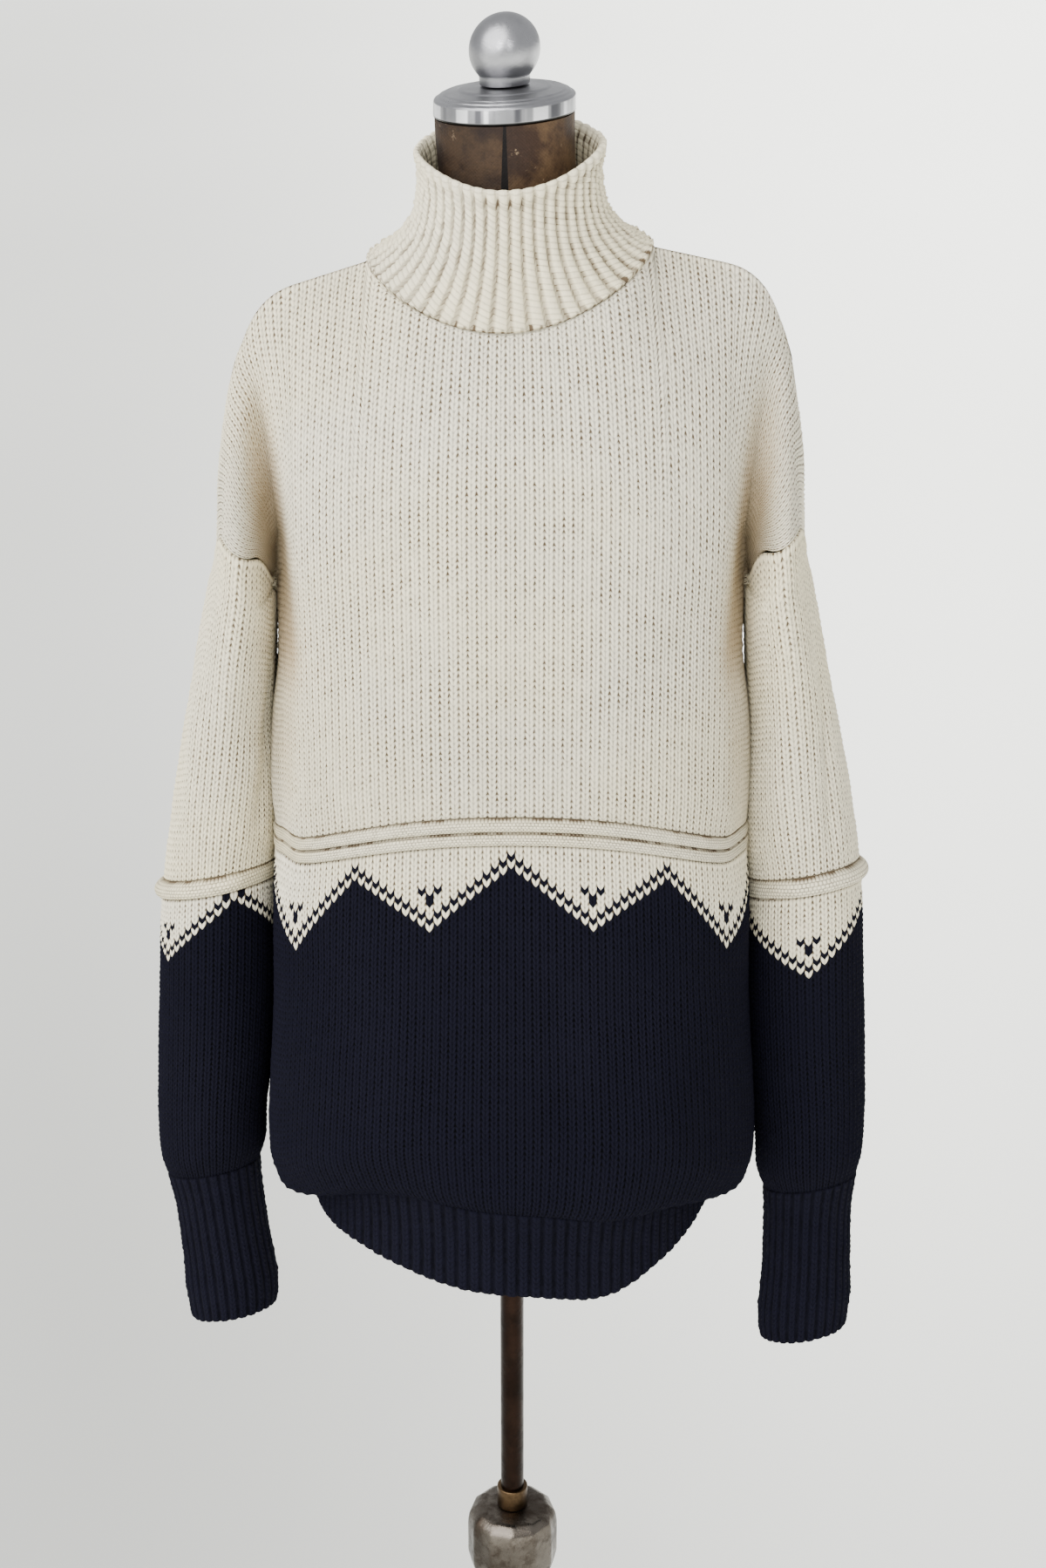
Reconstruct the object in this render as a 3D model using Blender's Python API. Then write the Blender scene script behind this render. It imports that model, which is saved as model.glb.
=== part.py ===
"""Knitted turtleneck sweater on a limbless dress form with a pole stand.

Frame: metres, +Z up, +X to the viewer's right, the garment's front faces -Y.
The origin is the middle of the round base's underside, on the floor.
"""
import math
from collections import namedtuple

import bmesh
import bpy
import numpy as np

COLLECTION_NAME = "turtleneck_sweater_on_dress_form"

# Gap that parted pieces keep, and the cloth's walls
GAP = 0.0003
PANEL_WALL = 0.0030
RIB_WALL = 0.0026
RIB_RAISE = 0.0016
ROUNDING = 1e-6

# Levels of the body below the underarm row: heights at centre and at the side
# seam, half width, and how far the front and the back lie from the middle
BodyLevel = namedtuple("BodyLevel", "z_centre z_side half_width front back")
BODY_LEVELS = tuple(BodyLevel(*row) for row in (
    (1.2460, 1.1840, 0.1700, 0.118, 0.104),
    (1.1960, 1.1320, 0.1700, 0.121, 0.106),
    (1.1460, 1.0800, 0.1705, 0.124, 0.108),
    (1.0960, 1.0300, 0.1720, 0.126, 0.110),
    (1.0460, 0.9800, 0.1740, 0.128, 0.112),
    (1.0240, 0.9580, 0.1745, 0.129, 0.113),
    (0.9700, 0.9050, 0.1780, 0.133, 0.117),
    (0.9100, 0.8450, 0.1830, 0.138, 0.122),
    (0.8500, 0.7850, 0.1880, 0.143, 0.128),
    (0.7900, 0.7250, 0.1930, 0.149, 0.134),
    (0.7550, 0.6990, 0.1910, 0.152, 0.138),
    (0.7380, 0.6820, 0.1835, 0.153, 0.139),
    (0.7300, 0.6850, 0.1740, 0.151, 0.137),
    (0.7265, 0.7040, 0.1650, 0.148, 0.134),
    (0.7238, 0.7238, 0.1590, 0.146, 0.132),
))
UNDERARM_LEVEL = 0
WELT_TOP_LEVEL = 4
WELT_FOOT_LEVEL = 5
# A row is a superellipse that grows rounder from the blouse to the hem, and its
# height falls towards the side seam
BODY_POWER = 2.6
HEM_POWER = 2.05
HEM_POWER_FROM = 0.790
SAG_POWER = 2.4
CREASE_X = 0.152
# Steps and pulls of the curve that carries a row from the crease to its end
TANGENT_STEP = 0.001
SIDE_PULL = 0.4
SHOULDER_PULL = 0.036
OVERARM_PULL = np.array([-0.010, 0.0, 0.165])
UNDERARM_PULL_SHARE = 0.25

# Neck seam and shoulder seam
NECK_HALF_WIDTH = 0.100
NECK_FRONT = (0.085, 1.390)
NECK_BACK = (0.072, 1.436)
NECK_SIDE_Z = 1.425
SHOULDER_SLOPE = 0.27
CHEST_POWER = 3.0

# Dropped armhole ring, from the underarm over the front or back to the overarm
ARMHOLE_CENTRE_X = 0.1955
ARMHOLE_HALF_X = 0.0195
ARMHOLE_HALF_Y = 0.078
ARMHOLE_INNER_Z = 1.180
ARMHOLE_OUTER_Z = 1.207
UNDERARM_X = 0.173

# The right shoulder sits higher than the left one
LEAN = 0.050
LEAN_FROM = 1.15
LEAN_FULL = 1.38

# The front hem hangs lower right of the middle and is lifted left of it
Sway = namedtuple("Sway", "middle half_width height")
HEM_SWAY = (Sway(0.075, 0.042, -0.012), Sway(-0.100, 0.060, 0.011))
HEM_SWAY_FROM = 0.795
HEM_SWAY_FULL = 0.730
HEM_FRONT_FROM = 0.030
HEM_FRONT_FULL = 0.100

# Sleeve sections: height, middle, half sizes
SleeveLevel = namedtuple("SleeveLevel", "z middle_x middle_y half_x half_y")
SLEEVE_LEVELS = tuple(SleeveLevel(*row) for row in (
    (1.1400, 0.2040, 0.000, 0.0265, 0.072),
    (1.0800, 0.2105, 0.002, 0.0315, 0.064),
    (1.0150, 0.2175, 0.004, 0.0385, 0.057),
    (0.9750, 0.2225, 0.005, 0.0415, 0.053),
    (0.9440, 0.2260, 0.005, 0.0430, 0.051),
    (0.9270, 0.2275, 0.005, 0.0440, 0.051),
    (0.8600, 0.2310, 0.006, 0.0450, 0.050),
    (0.7850, 0.2360, 0.006, 0.0450, 0.048),
    (0.7200, 0.2410, 0.005, 0.0425, 0.045),
    (0.6800, 0.2425, 0.004, 0.0390, 0.042),
    (0.6700, 0.2430, 0.004, 0.0365, 0.038),
    (0.6550, 0.2420, 0.004, 0.0350, 0.036),
    (0.6000, 0.2400, 0.003, 0.0345, 0.035),
    (0.5450, 0.2385, 0.002, 0.0360, 0.035),
    (0.5300, 0.2385, 0.002, 0.0340, 0.034),
))
SLEEVE_WELT_TOP = 4
SLEEVE_WELT_FOOT = 5
CUFF_TOP = 10
# Below its welt the right sleeve hangs longer than the left one
SLEEVE_STRETCH = {"left": 0.98, "right": 1.035}
# Outward drift of each cuff's foot
CUFF_DRIFT = {"left": -0.007, "right": 0.005}
CUFF_DRIFT_FROM = 0.70
# The sleeves' sections are tipped: up at the front and up on the right
SLEEVE_TIP_FRONT = 0.30
SLEEVE_TIP_RIGHT = 0.20
SLEEVE_TIP_FROM = 1.14
SLEEVE_TIP_FULL = 0.98

# Hem rib, collar and cuffs
HEM_MIDDLE_Z = 0.6900
HEM_FOOT_Z = 0.6480
HEM_SWELL = (-0.0024, -0.0045, 0.0)
HEM_RIBS = 100
COLLAR_RIBS = 48
CUFF_RIBS = 28
# Ovals of the collar: share of the rib's height, half sizes and heights
CollarLevel = namedtuple("CollarLevel", "share half_width front back z_front z_side z_back")
COLLAR_LEVELS = tuple(CollarLevel(*row) for row in (
    (0.30, 0.0840, 0.0790, 0.0690, 1.4090, 1.4350, 1.4500),
    (0.70, 0.0700, 0.0710, 0.0660, 1.4300, 1.4490, 1.4640),
    (1.00, 0.0630, 0.0650, 0.0630, 1.4510, 1.4680, 1.4820),
    (1.00, 0.0620, 0.0620, 0.0620, 1.4670, 1.4850, 1.4980),
    (1.00, 0.0638, 0.0622, 0.0625, 1.4810, 1.5000, 1.5120),
))

# Rolled welts: how far each roll stands out, and its section as drop and share
WELT_ROLL = 0.0055
SLEEVE_WELT_ROLL = 0.0065
BODY_WELT_SECTION = (
    (0.02, 0.00), (0.14, 1.00), (0.34, 1.00), (0.50, 0.18), (0.66, 1.00), (0.86, 1.00), (0.98, 0.00),
)
SLEEVE_WELT_SECTION = ((0.03, 0.0), (0.25, 0.8), (0.50, 1.0), (0.75, 0.8), (0.97, 0.0))
# Share of a roll that is pressed flat where sleeve and body lie side by side
SIDE_HUG = 0.7
BODY_HUG_FROM = CREASE_X - 0.012
BODY_HUG_FULL = CREASE_X + 0.015
SLEEVE_HUG_FROM = 0.2
SLEEVE_HUG_FULL = 0.9

# Mesh divisions
FRONT_COLUMNS = 7
SIDE_COLUMNS = 5
ARM_ROWS = 8
FORM_SIDES = 28
CAP_SIDES = 28
BALL_SIDES = 20
BALL_STEPS = 9
POLE_SIDES = 20
COLUMN_SIDES = 24
BASE_SIDES = 48
SHARP_ANGLE = math.radians(40)

# Soft folds in the panels: start and end, half width, height outwards
Fold = namedtuple("Fold", "from_x from_z to_x to_z half_width height")
FRONT_FOLDS = tuple(Fold(*row) for row in (
    (-0.150, 1.200, -0.105, 1.110, 0.016, -0.0035),
    (0.150, 1.215, 0.100, 1.130, 0.016, -0.0030),
    (-0.075, 0.900, -0.090, 0.760, 0.022, 0.0040),
    (0.030, 0.930, 0.045, 0.770, 0.020, -0.0035),
    (0.110, 0.900, 0.120, 0.760, 0.022, 0.0040),
    (-0.020, 1.330, -0.030, 1.150, 0.035, 0.0020),
))
BACK_FOLDS = tuple(Fold(*row) for row in (
    (-0.145, 1.200, -0.090, 1.100, 0.018, -0.0035),
    (0.145, 1.205, 0.095, 1.090, 0.018, -0.0035),
    (-0.100, 0.920, -0.095, 0.770, 0.022, 0.0040),
    (0.005, 0.940, 0.000, 0.780, 0.022, -0.0035),
    (0.095, 0.910, 0.105, 0.770, 0.022, 0.0035),
))
FOLD_HALF_LENGTH = 0.42
# Folds fade over this distance before and past the crease
FOLD_MARGIN = 0.020

# The neck stands a little left of the pole
NECK_SHIFT_X = -0.0035
NECK_SHIFT_FROM = 1.44
FormLevel = namedtuple("FormLevel", "z half_x half_y middle_y")
FORM_LEVELS = tuple(FormLevel(*row) for row in (
    (0.8000, 0.1400, 0.0960, 0.000),
    (0.8080, 0.1480, 0.1040, 0.000),
    (0.9000, 0.1500, 0.1060, 0.000),
    (1.0000, 0.1360, 0.0940, 0.000),
    (1.0800, 0.1310, 0.0900, 0.000),
    (1.1800, 0.1430, 0.1000, -0.002),
    (1.2600, 0.1480, 0.1020, -0.003),
    (1.3200, 0.1490, 0.0920, 0.000),
    (1.3616, 0.1460, 0.0750, 0.002),
    (1.3866, 0.1345, 0.0600, 0.000),
    (1.4036, 0.1145, 0.0520, 0.000),
    (1.4176, 0.0880, 0.0490, 0.001),
    (1.4316, 0.0640, 0.0490, 0.000),
    (1.4480, 0.0520, 0.0485, 0.000),
    (1.4700, 0.0487, 0.0485, 0.000),
    (1.5230, 0.0487, 0.0487, 0.000),
))

# Neck cap, ball, pole, ferrule, hub and base; profiles are (radius, height)
CAP_PROFILE = (
    (0.0000, 1.5432), (0.0120, 1.5432), (0.0130, 1.5420), (0.0300, 1.5415),
    (0.0315, 1.5400), (0.0420, 1.5388), (0.0465, 1.5370), (0.0490, 1.5345),
    (0.0496, 1.5250), (0.0485, 1.5236), (0.0000, 1.5236),
)
BALL_RADIUS = 0.0247
BALL_FOOT_Z = 1.5436
# The ball ends this share of its radius below its middle, on a short foot
BALL_CUT = 0.68
BALL_FOOT_HEIGHT = 0.0064
BALL_FOOT_RADIUS = 0.0172
POLE_RADIUS = 0.0098
POLE_TOP_Z = 0.7997
FERRULE_RADIUS = 0.0130
FERRULE_HEIGHT = 0.020
FERRULE_BEVEL = 0.002
FERRULE_SIDES = 20
HUB_TOP_Z = 0.335
HUB_FOOT_Z = 0.262
HUB_PROFILE = (
    (0.0000, 0.3350), (0.0150, 0.3350), (0.0300, 0.3335), (0.0370, 0.3270),
    (0.0385, 0.3170), (0.0385, 0.2850), (0.0350, 0.2700), (0.0270, 0.2620),
    (0.0000, 0.2620),
)
HUB_FACETS = 12
COLUMN_RADIUS = 0.0160
BASE_RADIUS = 0.200
BASE_HEIGHT = 0.016

Look = namedtuple("Look", "tint roughness metallic")
LOOKS = {
    "ivory_wool": Look((0.76, 0.72, 0.62, 1.0), 0.95, 0.0),
    "navy_wool": Look((0.012, 0.014, 0.026, 1.0), 0.95, 0.0),
    "worn_linen": Look((0.16, 0.09, 0.055, 1.0), 0.85, 0.0),
    "satin_aluminium": Look((0.78, 0.77, 0.76, 1.0), 0.32, 1.0),
    "bronzed_steel": Look((0.10, 0.065, 0.045, 1.0), 0.45, 1.0),
    "old_brass": Look((0.55, 0.38, 0.17, 1.0), 0.35, 1.0),
    "nickel": Look((0.55, 0.53, 0.50, 1.0), 0.35, 1.0),
    "painted_iron": Look((0.03, 0.03, 0.032, 1.0), 0.55, 0.3),
}


def clear_scene():
    """Take every object out of the scene."""
    for old in list(bpy.data.objects):
        bpy.data.objects.remove(old, do_unlink=True)


def make_material(name):
    """A Principled BSDF with the named tint, roughness and metallic value."""
    look = LOOKS[name]
    material = bpy.data.materials.new(name)
    material.use_nodes = True
    shader = material.node_tree.nodes["Principled BSDF"]
    shader.inputs["Base Color"].default_value = look.tint
    shader.inputs["Roughness"].default_value = look.roughness
    shader.inputs["Metallic"].default_value = look.metallic
    return material


def smooth_step(value, low, high):
    """0 below low, 1 above high, and an S curve between."""
    share = np.clip((value - low) / (high - low), 0.0, 1.0)
    return share * share * (3.0 - 2.0 * share)


def unit(vectors):
    """Vectors along the last axis at length 1."""
    lengths = np.linalg.norm(vectors, axis=-1, keepdims=True)
    return vectors / np.maximum(lengths, 1e-12)


def leaned(points):
    """Points with the right shoulder raised, and the front hem swayed to the right."""
    moved = points.copy()
    x, y, z = points[..., 0], points[..., 1], points[..., 2]
    moved[..., 2] += LEAN * x * smooth_step(z, LEAN_FROM, LEAN_FULL)
    at_hem = smooth_step(-z, -HEM_SWAY_FROM, -HEM_SWAY_FULL)
    at_front = smooth_step(-y, HEM_FRONT_FROM, HEM_FRONT_FULL)
    for sway in HEM_SWAY:
        bell = np.exp(-((x - sway.middle) / sway.half_width) ** 2)
        moved[..., 2] += sway.height * bell * at_hem * at_front
    return moved


def bezier(start, start_pull, end_pull, end, share):
    """Points of a cubic curve at each share of its way."""
    a = share[:, None]
    b = 1.0 - a
    return b ** 3 * start + 3 * a * b * b * start_pull + 3 * a * a * b * end_pull + a ** 3 * end


def fold_height(folds, x, z):
    """Height of the soft folds: a bell across each fold's line, fading at its ends."""
    total = np.zeros_like(x)
    for fold in folds:
        line = np.array([fold.to_x - fold.from_x, fold.to_z - fold.from_z])
        length = np.linalg.norm(line)
        along = line / length
        run = (x - fold.from_x) * along[0] + (z - fold.from_z) * along[1]
        across = (x - fold.from_x) * along[1] - (z - fold.from_z) * along[0]
        middle = run / length - 0.5
        bell = np.exp(-(across / fold.half_width) ** 2)
        total += fold.height * bell * np.exp(-(middle / FOLD_HALF_LENGTH) ** 4)
    return total


def neck_and_shoulder(x, face):
    """Depth and height of the panel's top edge at distance x from the middle."""
    depth, low = NECK_FRONT if face < 0 else NECK_BACK
    share = np.clip(x / NECK_HALF_WIDTH, 0.0, 1.0)
    edge_y = face * np.maximum(depth * np.sqrt(1.0 - share ** 2), GAP / 2)
    neck_z = low + (NECK_SIDE_Z - low) * share ** 2
    shoulder_z = NECK_SIDE_Z - SHOULDER_SLOPE * (x - NECK_HALF_WIDTH)
    edge_z = np.where(x < NECK_HALF_WIDTH, neck_z, shoulder_z)
    return edge_y, edge_z


def body_front(level, x, face):
    """Points of a row between the middle and the crease, at distances x."""
    depth = level.front if face < 0 else level.back
    at_hem = smooth_step(-level.z_centre, -HEM_POWER_FROM, -BODY_LEVELS[-1].z_centre)
    power = BODY_POWER + (HEM_POWER - BODY_POWER) * at_hem
    share = x / level.half_width
    y = face * depth * (1.0 - share ** power) ** (1.0 / power)
    z = level.z_centre + (level.z_side - level.z_centre) * share ** SAG_POWER
    return np.stack([x, y, z], axis=-1)


def chest_front(rise, x, face):
    """Points between the middle and the crease of a row above the underarm.

    Height runs straight from the underarm row to the neck and shoulder edge with
    the rise, and depth with the rise to its third power.
    """
    low = body_front(BODY_LEVELS[UNDERARM_LEVEL], x, face)
    edge_y, edge_z = neck_and_shoulder(x, face)
    lean_in = rise ** CHEST_POWER
    y = low[:, 1] * (1.0 - lean_in) + edge_y * lean_in
    z = low[:, 2] * (1.0 - rise) + edge_z * rise
    return np.stack([x, y, z], axis=-1)


def carried_round(front, end, end_pull, pull):
    """A half row: front gives its points up to the crease, a curve carries it to its end."""
    across = np.linspace(0.0, CREASE_X, FRONT_COLUMNS + 1)
    middle = front(across)
    start = middle[-1]
    before = front(np.array([CREASE_X - TANGENT_STEP]))[0]
    start_pull = start + unit(start - before) * pull(np.linalg.norm(end - start))
    round_side = np.linspace(0.0, 1.0, SIDE_COLUMNS + 1)[1:]
    return np.concatenate([middle, bezier(start, start_pull, end_pull(start), end, round_side)])


def body_row(level, face):
    """A row below the underarm, from the middle to the side seam."""
    end = np.array([level.half_width, face * GAP / 2, level.z_side])
    facing = np.array([0.0, face, 0.0])
    return carried_round(
        lambda x: body_front(level, x, face), end,
        lambda start: end + facing * SIDE_PULL * np.linalg.norm(end - start),
        lambda reach: SIDE_PULL * reach,
    )


def chest_row(rise, face):
    """A row above the underarm: across the chest, then down the upper arm."""
    end = armhole_point(rise, face)
    share = UNDERARM_PULL_SHARE + (1.0 - UNDERARM_PULL_SHARE) * rise
    return carried_round(
        lambda x: chest_front(rise, x, face), end,
        lambda start: end + OVERARM_PULL * share,
        lambda reach: min(SIDE_PULL * reach, SHOULDER_PULL),
    )


def armhole_point(rise, face):
    """A point of the dropped armhole, rise 0 at the underarm and 1 at the overarm."""
    angle = math.pi * rise
    x = ARMHOLE_CENTRE_X - ARMHOLE_HALF_X * math.cos(angle)
    y = face * max(ARMHOLE_HALF_Y * math.sin(angle), GAP / 2)
    climb = 0.5 - 0.5 * math.cos(angle)
    z = ARMHOLE_INNER_Z + (ARMHOLE_OUTER_Z - ARMHOLE_INNER_Z) * climb
    return np.array([x, y, z])


def body_grid(face, levels, with_chest):
    """Rows of a whole panel, top row first: the chest's rows, then the levels."""
    rows = []
    if with_chest:
        rises = np.linspace(1.0, 0.0, ARM_ROWS + 1)[:-1]
        rows.extend(chest_row(rise, face) for rise in rises)
    for index in levels:
        row = body_row(BODY_LEVELS[index], face)
        if index == UNDERARM_LEVEL:
            row[-1] = (UNDERARM_X, face * GAP / 2, BODY_LEVELS[index].z_side)
        rows.append(row)
    half = np.array(rows)
    mirrored = half[:, :0:-1] * np.array([-1.0, 1.0, 1.0])
    full = np.concatenate([mirrored, half], axis=1)
    folds = FRONT_FOLDS if face < 0 else BACK_FOLDS
    inside = smooth_step(CREASE_X + FOLD_MARGIN - np.abs(full[..., 0]), 0.0, 2.0 * FOLD_MARGIN)
    full[..., 1] += face * fold_height(folds, full[..., 0], full[..., 2]) * inside
    return full


def grid_normals(grid, wrap):
    """Unit normals of a grid of points, from its rows' and columns' directions."""
    down = np.gradient(grid, axis=0)
    if wrap:
        along = np.roll(grid, -1, axis=1) - np.roll(grid, 1, axis=1)
    else:
        along = np.gradient(grid, axis=1)
    return unit(np.cross(along, down))


def wall_points(grid, thickness, outward):
    """Inner points of a wall whose outer points are the grid."""
    normals = grid_normals(grid, wrap=False) * outward
    return grid - normals * thickness


def wall_object(name, outer, inner, wrap, material, group):
    """A closed wall between an outer grid and an inner grid of points.

    The outer grid may have several columns for each inner one. Quads cover both
    grids, and polygons close the rims at the first and last row and column.
    """
    rows, outer_columns = outer.shape[:2]
    inner_columns = inner.shape[1]
    outer_spans = outer_columns if wrap else outer_columns - 1
    inner_spans = inner_columns if wrap else inner_columns - 1
    ratio = outer_spans // inner_spans
    mesh = bpy.data.meshes.new(name)
    shape = bmesh.new()
    outer_verts = [[shape.verts.new(p) for p in row] for row in leaned(outer)]
    inner_verts = [[shape.verts.new(p) for p in row] for row in leaned(inner)]
    for r in range(rows - 1):
        for c in range(outer_spans):
            d = (c + 1) % outer_columns
            shape.faces.new((outer_verts[r][c], outer_verts[r][d],
                             outer_verts[r + 1][d], outer_verts[r + 1][c]))
        for c in range(inner_spans):
            d = (c + 1) % inner_columns
            shape.faces.new((inner_verts[r][d], inner_verts[r][c],
                             inner_verts[r + 1][c], inner_verts[r + 1][d]))
    for r in (0, rows - 1):
        for c in range(inner_spans):
            d = (c + 1) % inner_columns
            edge = [outer_verts[r][(c * ratio + k) % outer_columns] for k in range(ratio + 1)]
            ring = edge + [inner_verts[r][d], inner_verts[r][c]]
            shape.faces.new(ring if r else ring[::-1])
    if not wrap:
        for r in range(rows - 1):
            shape.faces.new((outer_verts[r][0], outer_verts[r + 1][0],
                             inner_verts[r + 1][0], inner_verts[r][0]))
            shape.faces.new((outer_verts[r + 1][-1], outer_verts[r][-1],
                             inner_verts[r][-1], inner_verts[r + 1][-1]))
    bmesh.ops.triangulate(shape, faces=shape.faces)
    bmesh.ops.recalc_face_normals(shape, faces=shape.faces)
    shape.to_mesh(mesh)
    shape.free()
    return finish_object(name, mesh, material, group)


def finish_object(name, mesh, material, group):
    """Link a mesh as a named, smoothly shaded object of one material."""
    mesh.shade_smooth()
    mesh.set_sharp_from_angle(angle=SHARP_ANGLE)
    piece = bpy.data.objects.new(name, mesh)
    piece.data.materials.append(material)
    group.objects.link(piece)
    return piece


def tube_object(name, rings, material, group):
    """A closed ring-shaped tube: rings holds a closed section for each place round it."""
    mesh = bpy.data.meshes.new(name)
    shape = bmesh.new()
    verts = [[shape.verts.new(p) for p in ring] for ring in leaned(rings)]
    count, sides = rings.shape[:2]
    for a in range(count):
        b = (a + 1) % count
        for s in range(sides):
            t = (s + 1) % sides
            shape.faces.new((verts[a][s], verts[a][t], verts[b][t], verts[b][s]))
    bmesh.ops.triangulate(shape, faces=shape.faces)
    bmesh.ops.recalc_face_normals(shape, faces=shape.faces)
    shape.to_mesh(mesh)
    shape.free()
    return finish_object(name, mesh, material, group)


def make_panel(name, face, levels, with_chest, material, group):
    """A front or back panel; gives its outer and inner points for the pieces beside it."""
    outer = body_grid(face, levels, with_chest)
    inner = wall_points(outer, PANEL_WALL, outward=face)
    inner[:, (0, -1), 1] = outer[:, (0, -1), 1]
    inner[-1, :, 2] = outer[-1, :, 2]
    if with_chest:
        set_shoulder_and_armhole(outer, inner)
    else:
        inner[0, :, 2] = outer[0, :, 2]
    wall_object(name, outer, inner, False, material, group)
    return outer, inner


def set_shoulder_and_armhole(outer, inner):
    """Square the inner rim of an upper panel to its shoulder seams and armholes."""
    shoulder = np.abs(outer[0, :, 0]) > NECK_HALF_WIDTH - ROUNDING
    inner[0, shoulder, 1] = outer[0, shoulder, 1]
    rows = slice(1, ARM_ROWS)
    for end in (0, -1):
        sign = np.sign(outer[0, end, 0])
        edge = outer[rows, end]
        offset = np.abs(edge[:, 0]) - ARMHOLE_CENTRE_X
        inner[rows, end, 0] = sign * (ARMHOLE_CENTRE_X + offset * (1.0 - PANEL_WALL / ARMHOLE_HALF_X))
        inner[rows, end, 1] = edge[:, 1] * (1.0 - PANEL_WALL / ARMHOLE_HALF_Y)
        inner[rows, end, 2] = edge[:, 2]
        inner[0, end] = outer[0, end] - (sign * PANEL_WALL, 0.0, 0.0)
        inner[ARM_ROWS, end] = outer[ARM_ROWS, end] + (0.0, 0.0, PANEL_WALL)


def closed_section(front, back):
    """A closed ring of points from a front row and a back row of the body."""
    return np.concatenate([front, back[::-1]])


def resampled(ring, count):
    """Points at even distances along the straight spans of a closed ring."""
    closed = np.concatenate([ring, ring[:1]])
    lengths = np.linalg.norm(np.diff(closed, axis=0), axis=1)
    reach = np.concatenate([[0.0], np.cumsum(lengths)])
    places = np.arange(count) * reach[-1] / count
    return np.stack([np.interp(places, reach, closed[:, k]) for k in range(3)], axis=-1)


def ring_outward(ring):
    """Level unit vectors that point out of a closed ring."""
    along = np.roll(ring, -1, axis=0) - np.roll(ring, 1, axis=0)
    out = np.stack([along[:, 1], -along[:, 0], np.zeros(len(ring))], axis=-1)
    centre = ring.mean(axis=0)
    sign = np.sign(np.sum(out * (ring - centre), axis=-1)).sum()
    return unit(out) * (1.0 if sign > 0 else -1.0)


def ribbed(ring, share=1.0):
    """A ring with every second point moved out to a rib's ridge."""
    raised = RIB_RAISE * share * (np.arange(len(ring)) % 2 == 0)
    return ring + ring_outward(ring) * raised[:, None]


def rolled_tube(name, top, foot, section, roll, hug, material, group):
    """A rolled welt between two rings: its section's shares swell outwards by the roll."""
    out = ring_outward(top)
    top = top - (0.0, 0.0, GAP)
    foot = foot + (0.0, 0.0, GAP)
    rings = [top - out * PANEL_WALL]
    for drop, share in section:
        rings.append(top + (foot - top) * drop + out * (roll * share * hug)[:, None])
    rings.append(foot - out * PANEL_WALL)
    tube_object(name, np.array(rings).transpose(1, 0, 2), material, group)


def make_body_welt(rows_above, rows_below, material, group):
    """Two rolled ridges round the body, between the upper and lower panels."""
    top = closed_section(*rows_above)
    foot = closed_section(*rows_below)
    hug = 1.0 - SIDE_HUG * smooth_step(np.abs(top[:, 0]), BODY_HUG_FROM, BODY_HUG_FULL)
    rolled_tube("body_welt", top, foot, BODY_WELT_SECTION, WELT_ROLL, hug, material, group)


def make_hem(front_foot, back_foot, material, group):
    """The ribbed hem: ridges on the outer points over a plain inside."""
    ring = resampled(closed_section(front_foot, back_foot), HEM_RIBS)
    fine = resampled(ring, HEM_RIBS * 2)
    outer_rows = []
    inner_rows = []
    for height, swell in zip((ring[0, 2] - GAP, HEM_MIDDLE_Z, HEM_FOOT_Z), HEM_SWELL):
        outer = ribbed(fine) + ring_outward(fine) * swell
        outer[:, 2] = height
        inner = ring + ring_outward(ring) * (swell - RIB_WALL)
        inner[:, 2] = height
        outer_rows.append(outer)
        inner_rows.append(inner)
    wall_object("hem_rib", np.array(outer_rows), np.array(inner_rows), True, material, group)


def neck_rim(front, back):
    """The panels' neck edges as one closed ring, a gap above them."""
    near = np.abs(front[0, :, 0]) <= NECK_HALF_WIDTH + ROUNDING
    edges = []
    for grid in (front, back):
        away = unit(grid[0, near] - grid[1, near])
        edges.append(grid[0, near] + away * GAP)
    return closed_section(*edges)


def collar_rows(base, thickness):
    """The collar's base ring and its ovals, each point kept at its own angle."""
    angles = np.arctan2(base[:, 0] / NECK_HALF_WIDTH, -base[:, 1] / NECK_FRONT[0])
    forward = np.cos(angles)
    rows = [base]
    for level in COLLAR_LEVELS:
        depth = np.where(forward > 0, level.front, level.back) - thickness
        end_z = np.where(forward > 0, level.z_front, level.z_back)
        ring = np.stack([
            (level.half_width - thickness) * np.sin(angles),
            -depth * forward,
            level.z_side + (end_z - level.z_side) * forward ** 2,
        ], axis=-1)
        rows.append(ring if thickness else ribbed(ring, level.share))
    return np.array(rows)


def make_collar(panels, material, group):
    """The ribbed turtleneck collar, standing on the panels' neck edges."""
    (front_outer, front_inner), (back_outer, back_inner) = panels
    outer = collar_rows(resampled(neck_rim(front_outer, back_outer), COLLAR_RIBS * 2), 0.0)
    inner = collar_rows(resampled(neck_rim(front_inner, back_inner), COLLAR_RIBS), RIB_WALL)
    wall_object("collar", outer, inner, True, material, group)


def sleeve_ring(level, side, count):
    """A closed tipped oval of a sleeve, starting at its inner side and going to the front."""
    z = level.z
    welt_z = SLEEVE_LEVELS[SLEEVE_WELT_TOP].z
    if z < welt_z:
        z = welt_z + (z - welt_z) * SLEEVE_STRETCH[side]
    sign = 1.0 if side == "right" else -1.0
    angles = np.arange(count) * 2.0 * math.pi / count
    drift = CUFF_DRIFT[side] * smooth_step(-z, -CUFF_DRIFT_FROM, -SLEEVE_LEVELS[-1].z)
    across = -sign * level.half_x * np.cos(angles)
    depth = -level.half_y * np.sin(angles)
    tip = smooth_step(-z, -SLEEVE_TIP_FROM, -SLEEVE_TIP_FULL)
    rise = (across * SLEEVE_TIP_RIGHT - depth * SLEEVE_TIP_FRONT) * tip
    return np.stack([sign * (level.middle_x + drift) + across, level.middle_y + depth, z + rise], axis=-1)


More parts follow.
